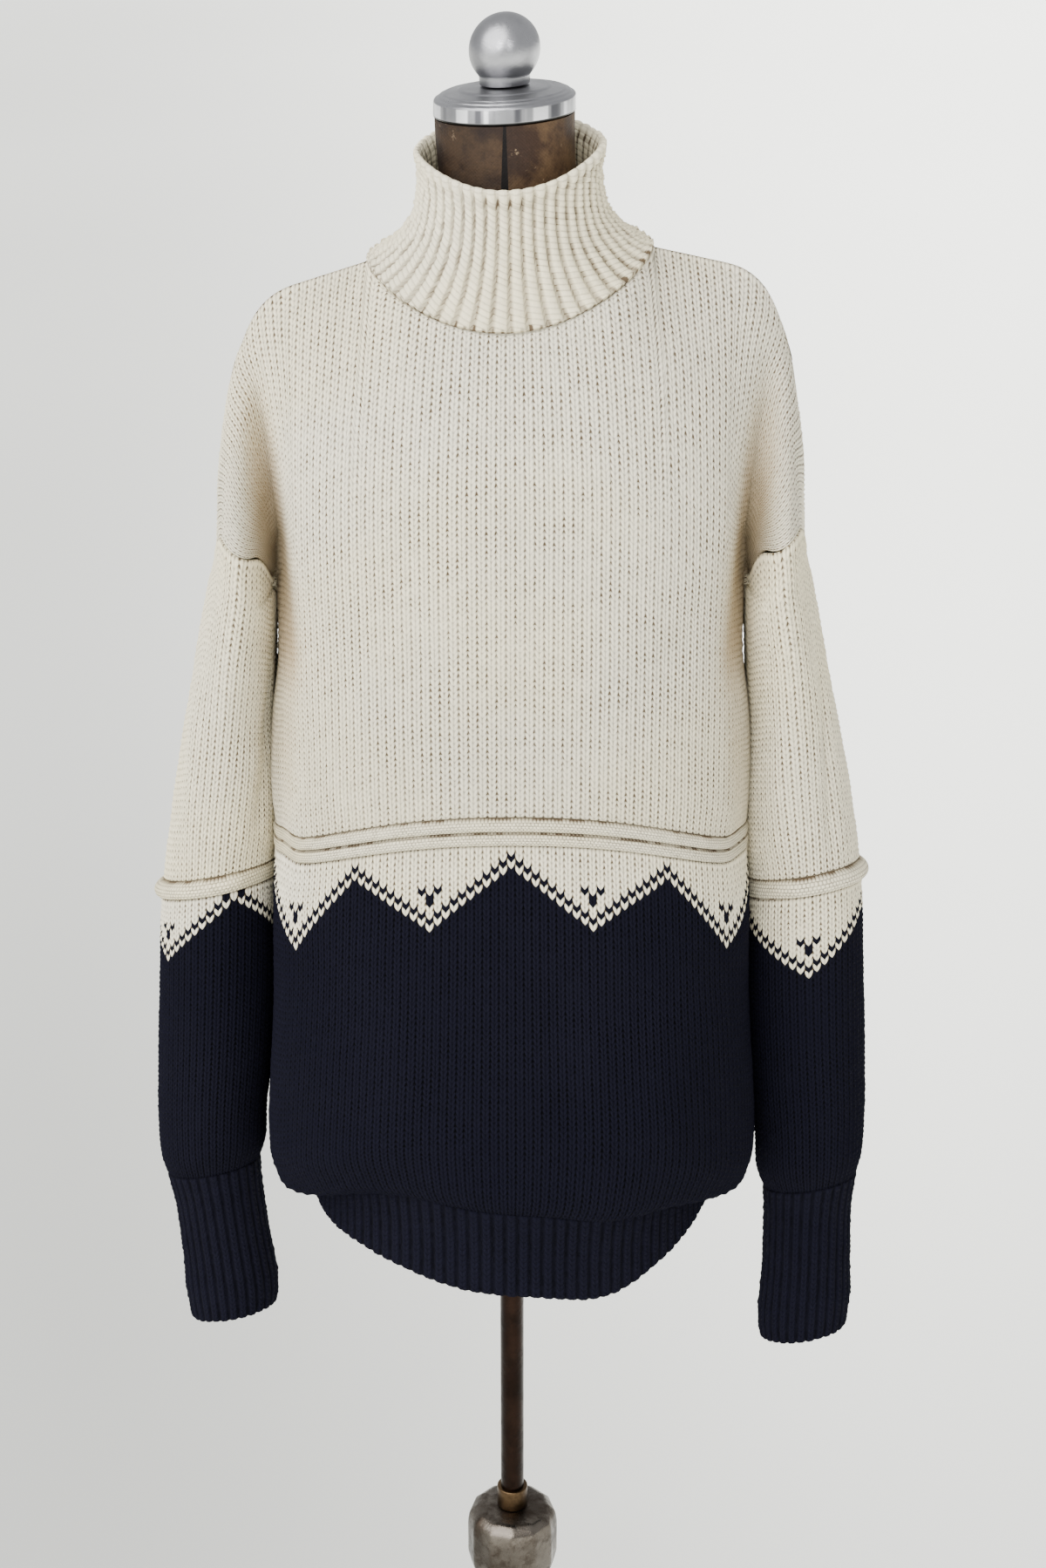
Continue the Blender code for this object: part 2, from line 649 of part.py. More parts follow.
def armhole_ring(panels, side, layer):
    """The closed armhole ring of both panels, a gap below them, from the underarm."""
    end = -1 if side == "right" else 0
    front = panels[0][layer][:ARM_ROWS + 1, end][::-1]
    back = panels[1][layer][:ARM_ROWS + 1, end]
    ring = np.concatenate([front, back[1:-1]])
    ring[(0, ARM_ROWS), 1] = 0.0
    return ring - (0.0, 0.0, GAP)


def sleeve_wall(name, levels, side, material, group, first=()):
    """A plain sleeve tube through its levels, below optional first outer and inner rings."""
    outer_rows = list(first[:1])
    inner_rows = list(first[1:])
    for level in levels:
        ring = sleeve_ring(level, side, ARM_ROWS * 2)
        outer_rows.append(ring)
        inner_rows.append(ring - ring_outward(ring) * PANEL_WALL)
    wall_object(name, np.array(outer_rows), np.array(inner_rows), True, material, group)


def make_sleeve(side, panels, materials, group):
    """Upper sleeve, rolled welt, lower sleeve and ribbed cuff of one side."""
    outer_first = armhole_ring(panels, side, 0)
    inner_first = armhole_ring(panels, side, 1)
    inner_first[:, 2] = outer_first[:, 2]
    inner_first[0, 0] = outer_first[0, 0] + np.sign(outer_first[0, 0]) * PANEL_WALL
    upper = SLEEVE_LEVELS[:SLEEVE_WELT_TOP + 1]
    lower = SLEEVE_LEVELS[SLEEVE_WELT_FOOT:CUFF_TOP + 1]
    sleeve_wall(f"sleeve_{side}", upper, side, materials["ivory_wool"], group,
                first=(outer_first, inner_first))
    sleeve_wall(f"sleeve_{side}_lower", lower, side, materials["navy_wool"], group)
    make_sleeve_welt(side, upper[-1], lower[0], materials["ivory_wool"], group)
    make_cuff(side, materials["navy_wool"], group)


def make_sleeve_welt(side, above, below, material, group):
    """One rolled ridge round the sleeve, between its upper and lower part."""
    top = sleeve_ring(above, side, ARM_ROWS * 2)
    foot = sleeve_ring(below, side, ARM_ROWS * 2)
    inside = -ring_outward(top)[:, 0] * np.sign(top[:, 0])
    hug = 1.0 - SIDE_HUG * smooth_step(inside, SLEEVE_HUG_FROM, SLEEVE_HUG_FULL)
    rolled_tube(f"sleeve_{side}_welt", top, foot, SLEEVE_WELT_SECTION, SLEEVE_WELT_ROLL, hug,
                material, group)


def make_cuff(side, material, group):
    """The ribbed cuff below the sleeve's navy part."""
    outer_rows = []
    inner_rows = []
    for level in SLEEVE_LEVELS[CUFF_TOP:]:
        inner = sleeve_ring(level, side, CUFF_RIBS)
        outer_rows.append(ribbed(sleeve_ring(level, side, CUFF_RIBS * 2)))
        inner_rows.append(inner - ring_outward(inner) * RIB_WALL)
    outer_rows[0][:, 2] -= GAP
    inner_rows[0][:, 2] -= GAP
    wall_object(f"cuff_{side}", np.array(outer_rows), np.array(inner_rows), True, material, group)


def lofted_form(name, levels, material, group):
    """A closed smooth form through oval sections, with flat ends."""
    mesh = bpy.data.meshes.new(name)
    shape = bmesh.new()
    angles = np.arange(FORM_SIDES) * 2.0 * math.pi / FORM_SIDES
    rings = []
    for level in levels:
        shift = NECK_SHIFT_X * smooth_step(level.z, NECK_SHIFT_FROM, levels[-1].z)
        x = shift + level.half_x * np.cos(angles)
        y = level.middle_y + level.half_y * np.sin(angles)
        ring = leaned(np.stack([x, y, np.full(FORM_SIDES, level.z)], axis=-1))
        rings.append([shape.verts.new(p) for p in ring])
    for low, high in zip(rings, rings[1:]):
        for c in range(FORM_SIDES):
            d = (c + 1) % FORM_SIDES
            shape.faces.new((low[c], low[d], high[d], high[c]))
    shape.faces.new(rings[0][::-1])
    shape.faces.new(rings[-1])
    bmesh.ops.triangulate(shape, faces=shape.faces)
    bmesh.ops.recalc_face_normals(shape, faces=shape.faces)
    shape.to_mesh(mesh)
    shape.free()
    return finish_object(name, mesh, material, group)


def turned_object(name, profile, sides, material, group, tilted=False):
    """A solid turned from a profile that runs from its top middle to its foot."""
    mesh = bpy.data.meshes.new(name)
    shape = bmesh.new()
    verts = [shape.verts.new((radius, 0.0, z)) for radius, z in profile]
    for a, b in zip(verts, verts[1:]):
        shape.edges.new((a, b))
    bmesh.ops.spin(shape, geom=shape.verts[:] + shape.edges[:], cent=(0, 0, 0), axis=(0, 0, 1),
                   angle=math.tau, steps=sides, use_merge=True)
    bmesh.ops.remove_doubles(shape, verts=shape.verts, dist=ROUNDING)
    bmesh.ops.triangulate(shape, faces=shape.faces)
    bmesh.ops.recalc_face_normals(shape, faces=shape.faces)
    if tilted:
        for vert in shape.verts:
            vert.co.z += LEAN * (vert.co.x + NECK_SHIFT_X)
            vert.co.x += NECK_SHIFT_X
    shape.to_mesh(mesh)
    shape.free()
    return finish_object(name, mesh, material, group)


def cylinder_object(name, radius, low, high, sides, material, group):
    """An upright cylinder between two heights."""
    mesh = bpy.data.meshes.new(name)
    shape = bmesh.new()
    bmesh.ops.create_cone(shape, cap_ends=True, cap_tris=False, segments=sides,
                          radius1=radius, radius2=radius, depth=high - low)
    bmesh.ops.translate(shape, verts=shape.verts, vec=(0.0, 0.0, (low + high) / 2))
    shape.to_mesh(mesh)
    shape.free()
    return finish_object(name, mesh, material, group)


def ball_profile():
    """Profile of the ball, cut below its middle, on its short tapering foot."""
    cut_angle = math.pi - math.acos(BALL_CUT)
    centre = BALL_FOOT_Z + BALL_FOOT_HEIGHT + BALL_CUT * BALL_RADIUS
    angles = np.linspace(0.0, cut_angle, BALL_STEPS + 1)
    points = [(BALL_RADIUS * math.sin(a), centre + BALL_RADIUS * math.cos(a)) for a in angles]
    return points + [(BALL_FOOT_RADIUS, BALL_FOOT_Z), (0.0, BALL_FOOT_Z)]


def make_form(materials, group):
    """The dress form with its neck, cap and ball."""
    aluminium = materials["satin_aluminium"]
    lofted_form("form_torso", FORM_LEVELS, materials["worn_linen"], group)
    turned_object("neck_cap", CAP_PROFILE, CAP_SIDES, aluminium, group, tilted=True)
    turned_object("cap_finial", ball_profile(), BALL_SIDES, aluminium, group, tilted=True)


def make_ferrule(material, group):
    """A brass collar round the pole, standing on the hub."""
    foot = HUB_TOP_Z + GAP
    top = foot + FERRULE_HEIGHT
    inner = POLE_RADIUS + GAP
    profile = (
        (inner, top), (FERRULE_RADIUS - FERRULE_BEVEL, top),
        (FERRULE_RADIUS, top - FERRULE_BEVEL), (FERRULE_RADIUS, foot), (inner, foot),
    )
    angles = np.arange(FERRULE_SIDES) * 2.0 * math.pi / FERRULE_SIDES
    rings = [[(r * math.cos(a), r * math.sin(a), z) for r, z in profile] for a in angles]
    tube_object("pole_ferrule", np.array(rings), material, group)


def make_stand(materials, group):
    """The pole, its ferrule and hub, the column and the round base."""
    iron = materials["painted_iron"]
    cylinder_object("pole", POLE_RADIUS, HUB_TOP_Z + GAP, POLE_TOP_Z, POLE_SIDES,
                    materials["bronzed_steel"], group)
    make_ferrule(materials["old_brass"], group)
    turned_object("hub", HUB_PROFILE, HUB_FACETS, materials["nickel"], group)
    cylinder_object("column", COLUMN_RADIUS, BASE_HEIGHT + GAP, HUB_FOOT_Z - GAP, COLUMN_SIDES, iron, group)
    cylinder_object("base", BASE_RADIUS, 0.0, BASE_HEIGHT, BASE_SIDES, iron, group)


def make_sweater(materials, group):
    """All knitted pieces."""
    upper_levels = range(UNDERARM_LEVEL, WELT_TOP_LEVEL + 1)
    lower_levels = range(WELT_FOOT_LEVEL, len(BODY_LEVELS))
    ivory = materials["ivory_wool"]
    navy = materials["navy_wool"]
    upper = [
        make_panel("front_panel", -1, upper_levels, True, ivory, group),
        make_panel("back_panel", 1, upper_levels, True, ivory, group),
    ]
    lower = [
        make_panel("front_lower", -1, lower_levels, False, navy, group),
        make_panel("back_lower", 1, lower_levels, False, navy, group),
    ]
    above = [outer[-1] for outer, inner in upper]
    below = [outer[0] for outer, inner in lower]
    feet = [outer[-1] for outer, inner in lower]
    make_body_welt(above, below, ivory, group)
    make_hem(*feet, navy, group)
    make_collar(upper, ivory, group)
    for side in ("left", "right"):
        make_sleeve(side, upper, materials, group)


def main():
    clear_scene()
    group = bpy.data.collections.new(COLLECTION_NAME)
    bpy.context.scene.collection.children.link(group)
    materials = {name: make_material(name) for name in LOOKS}
    make_form(materials, group)
    make_stand(materials, group)
    make_sweater(materials, group)


main()
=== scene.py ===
"""Looks of the knitted turtleneck sweater on its dress form.

Every knitted wall is a lattice of points, four or six across a stitch and two to
a row, sheared so that its lines follow the legs of the stitches. The stitch map
of each wall holds the stitch number across and the row number down, and the wool
materials draw strands, painted shade in the gaps, fuzz and the charted zigzag from it.
Frame: metres, +Z up, +X to the viewer's right, the garment's front faces -Y.
"""
import math
from collections import namedtuple

import bpy
import numpy as np
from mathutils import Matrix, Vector


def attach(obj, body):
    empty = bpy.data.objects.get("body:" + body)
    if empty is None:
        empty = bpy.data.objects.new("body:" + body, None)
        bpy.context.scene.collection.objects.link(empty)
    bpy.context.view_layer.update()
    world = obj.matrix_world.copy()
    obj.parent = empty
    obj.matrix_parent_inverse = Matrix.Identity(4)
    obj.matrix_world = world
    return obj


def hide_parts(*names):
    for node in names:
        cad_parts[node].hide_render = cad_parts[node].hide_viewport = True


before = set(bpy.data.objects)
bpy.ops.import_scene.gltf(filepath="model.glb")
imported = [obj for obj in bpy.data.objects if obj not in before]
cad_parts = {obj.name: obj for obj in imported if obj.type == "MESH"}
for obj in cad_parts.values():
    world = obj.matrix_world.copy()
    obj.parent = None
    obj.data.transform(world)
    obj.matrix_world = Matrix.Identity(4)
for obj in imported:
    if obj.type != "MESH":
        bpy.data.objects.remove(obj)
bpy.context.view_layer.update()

# Walls and seams, as in the solids
GAP = 0.0003
PANEL_WALL = 0.0030
RIB_WALL = 0.0026

# Levels of the body from the underarm row down: heights at centre and at the side
# seam, half width, and how far the front and the back lie from the middle. They are
# a little wider than the solids, so that the body meets the sleeves
BODY_LEVELS = np.array([
    (1.2460, 1.1840, 0.1700, 0.118, 0.104),
    (1.1960, 1.1320, 0.1715, 0.121, 0.106),
    (1.1460, 1.0850, 0.1780, 0.124, 0.108),
    (1.0960, 1.0390, 0.1808, 0.126, 0.110),
    (1.0460, 0.9930, 0.1805, 0.128, 0.112),
    (1.0240, 0.9720, 0.1810, 0.129, 0.113),
    (0.9700, 0.9180, 0.1830, 0.133, 0.117),
    (0.9100, 0.8540, 0.1850, 0.138, 0.122),
    (0.8500, 0.7900, 0.1890, 0.143, 0.128),
    (0.7900, 0.7250, 0.1930, 0.149, 0.134),
    (0.7550, 0.6990, 0.1910, 0.152, 0.138),
    (0.7380, 0.6820, 0.1845, 0.153, 0.139),
    (0.7300, 0.6850, 0.1765, 0.1525, 0.138),
    (0.7265, 0.7040, 0.1685, 0.150, 0.136),
    (0.7238, 0.7238, 0.1635, 0.149, 0.135),
])
WELT_TOP_LEVEL = 4
WELT_FOOT_LEVEL = 5
# A row is a superellipse as far as the crease, rounder towards the hem, and its height
# sags towards the side seam. A curve carries it on from the crease to its end
BODY_POWER = 2.6
HEM_POWER = 2.05
HEM_POWER_FROM = 0.790
SAG_POWER = 2.4
CREASE_X = 0.152
TANGENT_STEP = 0.001
SIDE_EASE_HEIGHT = 0.05

# Samples along the curves and sections that the rows are read from
CURVE_SAMPLES = 160
CHEST_SAMPLES = 90
UNDERARM_SAMPLES = 200
BODY_SAMPLES = 60
LOWER_SAMPLES = 160
ROW_SAMPLES = 120
COLLAR_SAMPLES = 80
SLEEVE_SAMPLES = 120
OVAL_SAMPLES = 241
STRIP_SAMPLES = 12
NECK_SAMPLES = 26

# Neck seam, shoulder seam and armhole
NECK_HALF_WIDTH = 0.100
NECK_FRONT = (0.085, 1.390)
NECK_BACK = (0.072, 1.436)
NECK_SIDE_Z = 1.425
SHOULDER_SLOPE = 0.27
CHEST_POWER = 3.0
ARMHOLE_CENTRE_X = 0.1955
ARMHOLE_HALF_X = 0.0195
ARMHOLE_HALF_Y = 0.078
ARMHOLE_INNER_Z = 1.180
ARMHOLE_OUTER_Z = 1.207
UNDERARM = (0.173, 0.0, 1.184)
UNDERARM_BLEND = 0.125
SIDE_PULL = 0.4
SHOULDER_PULL = 0.036
ARM_PULL = np.array([-0.010, 0.0, 0.165])
UNDERARM_PULL_SHARE = 0.25

# The right shoulder sits higher, and the front hem sways down to the right. A sway
# has a middle, a half width and a height
LEAN = 0.050
LEAN_FROM = 1.15
LEAN_FULL = 1.38
HEM_SWAY = ((0.075, 0.042, -0.012), (-0.100, 0.060, 0.011))
HEM_SWAY_FROM = 0.795
HEM_SWAY_FULL = 0.730
HEM_FRONT_FROM = 0.030
HEM_FRONT_FULL = 0.100

# Sleeve sections: height, middle, half sizes
SLEEVE_LEVELS = np.array([
    (1.1935, 0.1955, 0.000, 0.0195, 0.078),
    (1.1400, 0.2040, 0.000, 0.0265, 0.072),
    (1.0800, 0.2105, 0.002, 0.0315, 0.064),
    (1.0150, 0.2175, 0.004, 0.0385, 0.057),
    (0.9750, 0.2225, 0.005, 0.0415, 0.053),
    (0.9440, 0.2260, 0.005, 0.0430, 0.051),
    (0.9270, 0.2275, 0.005, 0.0440, 0.051),
    (0.8600, 0.2310, 0.006, 0.0450, 0.050),
    (0.7850, 0.2360, 0.006, 0.0450, 0.048),
    (0.7200, 0.2410, 0.005, 0.0425, 0.045),
    (0.6800, 0.2425, 0.004, 0.0390, 0.042),
    (0.6700, 0.2430, 0.004, 0.0365, 0.038),
    (0.6550, 0.2420, 0.004, 0.0350, 0.036),
    (0.6000, 0.2400, 0.003, 0.0345, 0.035),
    (0.5450, 0.2385, 0.002, 0.0360, 0.035),
    (0.5300, 0.2385, 0.002, 0.0340, 0.034),
])
SLEEVE_WELT_TOP = 5
SLEEVE_WELT_FOOT = 6
CUFF_TOP = 11
SLEEVE_STRETCH = {"left": 0.98, "right": 1.035}
CUFF_DRIFT = {"left": -0.007, "right": 0.005}
CUFF_DRIFT_FROM = 0.70
# The sleeves' sections are tipped: up at the front and up on the right
SLEEVE_TIP_FRONT = 0.30
SLEEVE_TIP_RIGHT = 0.20
SLEEVE_TIP_FROM = 1.14
SLEEVE_TIP_FULL = 0.98
ARMHOLE_TILT_TO = 1.14
SIDE_SIGN = {"left": -1.0, "right": 1.0}

# Collar ovals, top first: half width, front, back, heights at front, side and back
COLLAR_LEVELS = np.array([
    (0.0638, 0.0622, 0.0625, 1.4810, 1.5000, 1.5120),
    (0.0620, 0.0620, 0.0620, 1.4670, 1.4850, 1.4980),
    (0.0630, 0.0650, 0.0630, 1.4510, 1.4680, 1.4820),
    (0.0700, 0.0710, 0.0660, 1.4300, 1.4490, 1.4640),
    (0.0840, 0.0790, 0.0690, 1.4090, 1.4350, 1.4500),
    (0.1000, 0.0850, 0.0720, 1.3900, 1.4250, 1.4360),
])
# How far it rolls out at its cast-off rim and at the neck seam, and over how many rows
COLLAR_RIM = 0.0017
COLLAR_RIM_ROWS = 0.9
COLLAR_SEAM = 0.0016
COLLAR_SEAM_ROWS = 0.8

# Hem rib: heights, how far each stands out from the panels' feet, and how much
# higher its edge lies at the sides
HEM_LEVELS = ((0.7235, -0.0010), (0.6900, -0.0050), (0.6480, -0.0045))
HEM_SIDE_LIFT = 0.020
HEM_SIDE_POWER = 3

# Welts: how far a roll swells on the body and on a sleeve, the root of its sine, its
# steps down, two to a row of the stitch map, and how much flatter it lies at the arms
WELT_ROLL = 0.0064
SLEEVE_WELT_ROLL = 0.0072
WELT_ROUNDNESS = 0.55
WELT_STEPS = 11
WELT_DEPTH = WELT_STEPS / 2.0
SIDE_HUG = 0.7
BODY_HUG_FROM = CREASE_X - 0.012
BODY_HUG_FULL = CREASE_X + 0.015
SLEEVE_HUG_FROM = 0.2
SLEEVE_HUG_FULL = 0.9

# The armhole seam lies this far up the arm, between its two ends, and stands out
SEAM_LIFT = 0.034
SEAM_LIFT_FULL = 0.35
SEAM_LIFT_FADE = 0.72
SEAM_RIDGE = 0.0012
SEAM_RIDGE_ROWS = 2.0
# Softening of the rows below the corner between neck and shoulder
CORNER_REACH = 0.09
CORNER_POWER = 0.7
CORNER_SAMPLES = 11
CORNER_PEAK = 1.2
# Lines of stitches lie closer towards the armhole, up to this share of its height
ARM_CROWD = 0.93
ARM_CROWD_TO = 0.40
# Share of a column into which the rows left over at the shoulder are pressed
PRESSED_SHARE = 0.012

# Stitch counts across, and rows down
TORSO_STITCHES = 26
ARM_STITCHES = 30
LOWER_STITCHES = 45
SLEEVE_STITCHES = 56
LOWER_SLEEVE_STITCHES = 50
WELT_STITCHES = 192
WELT_LINES = 3
WELT_END_ROWS = 4
HEM_RIBS = 100
COLLAR_RIBS = 48
CUFF_RIBS = 28
ROW_HEIGHT = 0.00475
CHEST_ROWS = 46
UPPER_ROWS = 42
LOWER_ROWS = 64
SLEEVE_ROWS = 52
LOWER_SLEEVE_ROWS = 56
HEM_ROWS = 16
CUFF_ROWS = 30
COLLAR_ROWS = 22

# Zigzag: stitches from peak to peak, row of the peaks, stitch of a peak
CHART_PERIOD = 20
BODY_PEAK_ROW = 1.0
SLEEVE_PEAK_ROW = {"left": -0.9, "right": 2.1}
SLEEVE_PEAK = {"left": 9.0, "right": 2.0}

# Soft folds in the panels: start and end, half width, height outwards. A fold fades at
# this share of its length from its middle, and short of the folds at the arms
FOLD_REACH = 0.42
FOLD_EDGE = 0.02
FOLD_EDGE_FADE = 0.04
FRONT_FOLDS = (
    (-0.150, 1.200, -0.105, 1.110, 0.016, -0.0035),
    (0.150, 1.215, 0.100, 1.130, 0.016, -0.0030),
    (-0.075, 0.900, -0.090, 0.760, 0.022, 0.0040),
    (0.030, 0.930, 0.045, 0.770, 0.020, -0.0035),
    (0.110, 0.900, 0.120, 0.760, 0.022, 0.0040),
    (-0.020, 1.330, -0.030, 1.150, 0.035, 0.0020),
)
BACK_FOLDS = (
    (-0.145, 1.200, -0.090, 1.100, 0.018, -0.0035),
    (0.145, 1.205, 0.095, 1.090, 0.018, -0.0035),
    (-0.100, 0.920, -0.095, 0.770, 0.022, 0.0040),
    (0.005, 0.940, 0.000, 0.780, 0.022, -0.0035),
    (0.095, 0.910, 0.105, 0.770, 0.022, 0.0035),
)
# Folds between the body and the arms, which fade at neither edge of the torso
CREASE_FOLDS = (
    (-0.182, 1.365, -0.161, 1.130, 0.013, -0.034),
    (0.184, 1.365, 0.163, 1.130, 0.013, -0.030),
    (-0.163, 1.150, -0.176, 0.930, 0.010, -0.016),
    (0.165, 1.150, 0.178, 0.930, 0.010, -0.014),
)
# Shade along those folds: distance from the middle and height at their upper end
# and at the underarm, half width, and how far the shade spreads below the underarm.
# The shares of its height at which it grows, is full and fades are counted from there
CREASE_SHADE = (0.184, 1.345, 0.164, 1.150, 0.011, 0.013)
CREASE_GROWS = (-1.2, -0.3)
CREASE_BELOW = 0.4
CREASE_FULL = (-0.25, 0.0)
CREASE_FADES = (0.45, 1.15)
CREASE_STRENGTH = 0.75
# Soft folds in the sleeves: start and end as stitches round and heights
SLEEVE_FOLDS = {
    "left": ((0.06, 1.120, 0.16, 0.980, 0.030, -0.0035), (0.36, 1.150, 0.30, 0.960, 0.035, 0.0030)),
    "right": ((0.35, 1.140, 0.31, 0.960, 0.022, -0.0040), (0.23, 1.120, 0.20, 0.960, 0.040, 0.0030)),
}

# Dress form: heights, half widths, half depths and middle of each section
NECK_SHIFT_X = -0.0035
NECK_SHIFT_FROM = 1.44
FORM_LEVELS = np.array([
    (0.8000, 0.140, 0.096, 0.000),
    (0.8080, 0.148, 0.104, 0.000),
    (0.9000, 0.150, 0.106, 0.000),
    (1.0000, 0.136, 0.094, 0.000),
    (1.0800, 0.131, 0.090, 0.000),
    (1.1800, 0.143, 0.100, -0.002),
    (1.2600, 0.148, 0.102, -0.003),
    (1.3200, 0.149, 0.092, 0.000),
    (1.3616, 0.146, 0.075, 0.002),
    (1.3866, 0.1345, 0.060, 0.000),
    (1.4036, 0.1145, 0.052, 0.000),
    (1.4176, 0.088, 0.049, 0.001),
    (1.4316, 0.064, 0.049, 0.000),
    (1.4480, 0.052, 0.0485, 0.000),
    (1.4700, 0.0487, 0.0485, 0.000),
    (1.5230, 0.0487, 0.0487, 0.000),
])
FORM_SMOOTH_FROM = 12
FORM_COLUMNS = 112
FORM_SHARP_ANGLE = 50.0
TURNED_SHARP_ANGLE = 32.0

# Turned pieces: radius and height, foot first
CAP_PROFILE = (
    (0.0485, 1.5236), (0.0494, 1.5242), (0.0496, 1.5255), (0.0493, 1.5345), (0.0484, 1.5358),
    (0.0462, 1.5366), (0.0455, 1.5378), (0.0430, 1.5384), (0.0422, 1.5393), (0.0330, 1.5404),
    (0.0315, 1.5415), (0.0300, 1.5418), (0.0160, 1.5424), (0.0140, 1.5432), (0.0120, 1.5433),
)
BALL_RADIUS = 0.0247
BALL_FOOT_Z = 1.5436
BALL_CUT = 0.68
BALL_FOOT_HEIGHT = 0.0064
BALL_FOOT_RADIUS = 0.0172
BALL_SAMPLES = 44
BALL_TOP_SHARE = 0.995
POLE_RADIUS = 0.0098
POLE_TOP_Z = 0.7997
HUB_TOP_Z = 0.335
HUB_FOOT_Z = 0.262
FERRULE_RADIUS = 0.0130
FERRULE_HEIGHT = 0.020
HUB_PROFILE = (
    (0.0270, 0.2620), (0.0350, 0.2700), (0.0385, 0.2850), (0.0385, 0.3170), (0.0370, 0.3270),
    (0.0300, 0.3335), (0.0150, 0.3350),
)
HUB_FACETS = 12
COLUMN_RADIUS = 0.0160
BASE_RADIUS = 0.200
BASE_HEIGHT = 0.016
BASE_FOOT_INSET = 0.004
BASE_TOP_INSET = 0.010
# Radii of the turned pieces' corners, the steps of each, and how much of a short side
# one may take
CAP_CORNER = 0.0008
FERRULE_CORNER = 0.0016
HUB_CORNER = 0.003
BASE_CORNER = 0.003
ROUND_STEPS = 4
ROUND_SHARE = 0.45
# Columns round the turned pieces
WIDE_COLUMNS = 160
BALL_COLUMNS = 96
TUBE_COLUMNS = 64
COLUMNS_A_FACET = 8

# Camera, fitted to the photograph's outlines
PICTURE_HEIGHT = 1799
FOCAL_PIXELS = 3200.0
AXIS_OFFSET_PIXELS = 15.0
SENSOR_HEIGHT = 24.0
CAMERA_DISTANCE = 1.95
CAMERA_HEIGHT = 1.8835
CAMERA_PITCH = 24.0
CAMERA_REACH = 100.0

# Studio: floor, and the power, size and tint of its lights
FLOOR_MIDDLE_Y = 4.0
FLOOR_RADIUS = 14.0
FLOOR_SIDES = 64
FLOOR_Z = -0.0005
FLOOR_TINTS = ((0.60, 0.605, 0.575, 1.0), (0.66, 0.665, 0.635, 1.0))
FLOOR_GLOW_TINT = (0.57, 0.575, 0.54, 1.0)
WORLD_TINT = (0.93, 0.94, 0.95, 1.0)
WORLD_STRENGTH = 0.95
SUN_POWER = 5.5
SUN_SPREAD = 75.0
SUN_TINT = (1.0, 0.99, 0.97)
SUN_PLACE = (-0.90, -1.0, 1.0)
LAMP_SIZE = 0.26
LAMP_AIM = (0.0, 0.0, 1.5)
LAMPS = {"left_lamp": ((-0.72, -2.2, 2.4), 9.0), "right_lamp": ((0.60, -2.2, 2.4), 8.0)}

# How one stitch lies on its lattice: raise of each line across it, how many rows
# each line is drawn down, the raise between rows, and the height of the raise
Stitch = namedtuple("Stitch", "across skew low height")
STOCKING = Stitch((0.0, 1.0, 0.30, 1.0), (0.0, 0.4, 0.8, 0.4), 0.25, 0.0011)
RIB = Stitch((0.0, 0.55, 1.0, 0.80, 1.0, 0.55), (0.0, 0.0, 0.35, 0.7, 0.35, 0.0), 0.72, 0.0019)
TWISTED = Stitch((0.0, 0.66, 0.97, 1.0, 0.92, 0.50), (0.0, 0.16, 0.33, 0.5, 0.66, 0.83), 0.70, 0.0036)
LINES = len(STOCKING.across)
# A stitch of this width and height is raised in full. Rows drift by a share of a row,
# over cells of rows and stitches, and the raise varies by a share of itself
FULL_STITCH = 0.0055
FULL_ROW = 0.0042
UNEVEN_ROWS = 0.16
UNEVEN_CELL = (14, 3)
UNEVEN_RAISE = 0.5
# Slow ripples of a wall: height, cell of its base points, and the fade to its edges
RIPPLE = 0.0012
RIPPLE_CELL = (9, 36)
RIPPLE_FADE_ROWS = 6.0
RIPPLE_FADE_COLUMNS = 40.0
# A curled edge: rows of points round it, and how many rows of the map each takes
CURL_ROWS = 3
CURL_STEP = 0.3
# Keeps a place inside its grid, and a share from being divided by nothing
TINY = 1e-6


def smooth_step(value, low, high):
    """0 below low, 1 above high, and the cubic S curve between."""
    share = np.clip((value - low) / (high - low), 0.0, 1.0)
    return share * share * (3.0 - 2.0 * share)


def unit(vectors):
    """Vectors along the last axis at length 1."""
    lengths = np.linalg.norm(vectors, axis=-1, keepdims=True)
    return vectors / np.maximum(lengths, 1e-12)


def smooth_table(table, shares):
    """Rows of a table read at shares of its length: cubic pieces through its rows.

    A row's slope is the mean of its two neighbouring spans' slopes, each weighted
    by the other span's length, and the end rows take their only span's slope.
    """
    spans = np.linalg.norm(np.diff(table, axis=0), axis=1)
    reach = np.concatenate([[0.0], np.cumsum(spans)])
    slopes = np.diff(table, axis=0) / spans[:, None]
    before, after = spans[:-1, None], spans[1:, None]
    middle = (slopes[1:] * before + slopes[:-1] * after) / (before + after)
    tangents = np.concatenate([slopes[:1], middle, slopes[-1:]])
    place = shares * reach[-1]
    index = np.clip(np.searchsorted(reach, place, side="right") - 1, 0, len(spans) - 1)
    t = ((place - reach[index]) / spans[index])[:, None]
    span = spans[index][:, None]
    rising = t * t * (3.0 - 2.0 * t)
    pull = span * (tangents[index] * t * (1.0 - t) ** 2 - tangents[index + 1] * t * t * (1.0 - t))
    return table[index] * (1.0 - rising) + table[index + 1] * rising + pull


def along_rows(grid, shares):
    """Each row of a grid of points read at shares of that row's own length."""
    spans = np.linalg.norm(np.diff(grid, axis=1), axis=2)
    reach = np.concatenate([np.zeros((len(grid), 1)), np.cumsum(spans, axis=1)], axis=1)
    reach /= reach[:, -1:]
    shares = np.broadcast_to(shares, (len(grid), np.shape(shares)[-1]))
    return np.stack([
        np.stack([np.interp(share, place, row[:, k]) for k in range(3)], axis=-1)
        for share, place, row in zip(shares, reach, grid)
    ])


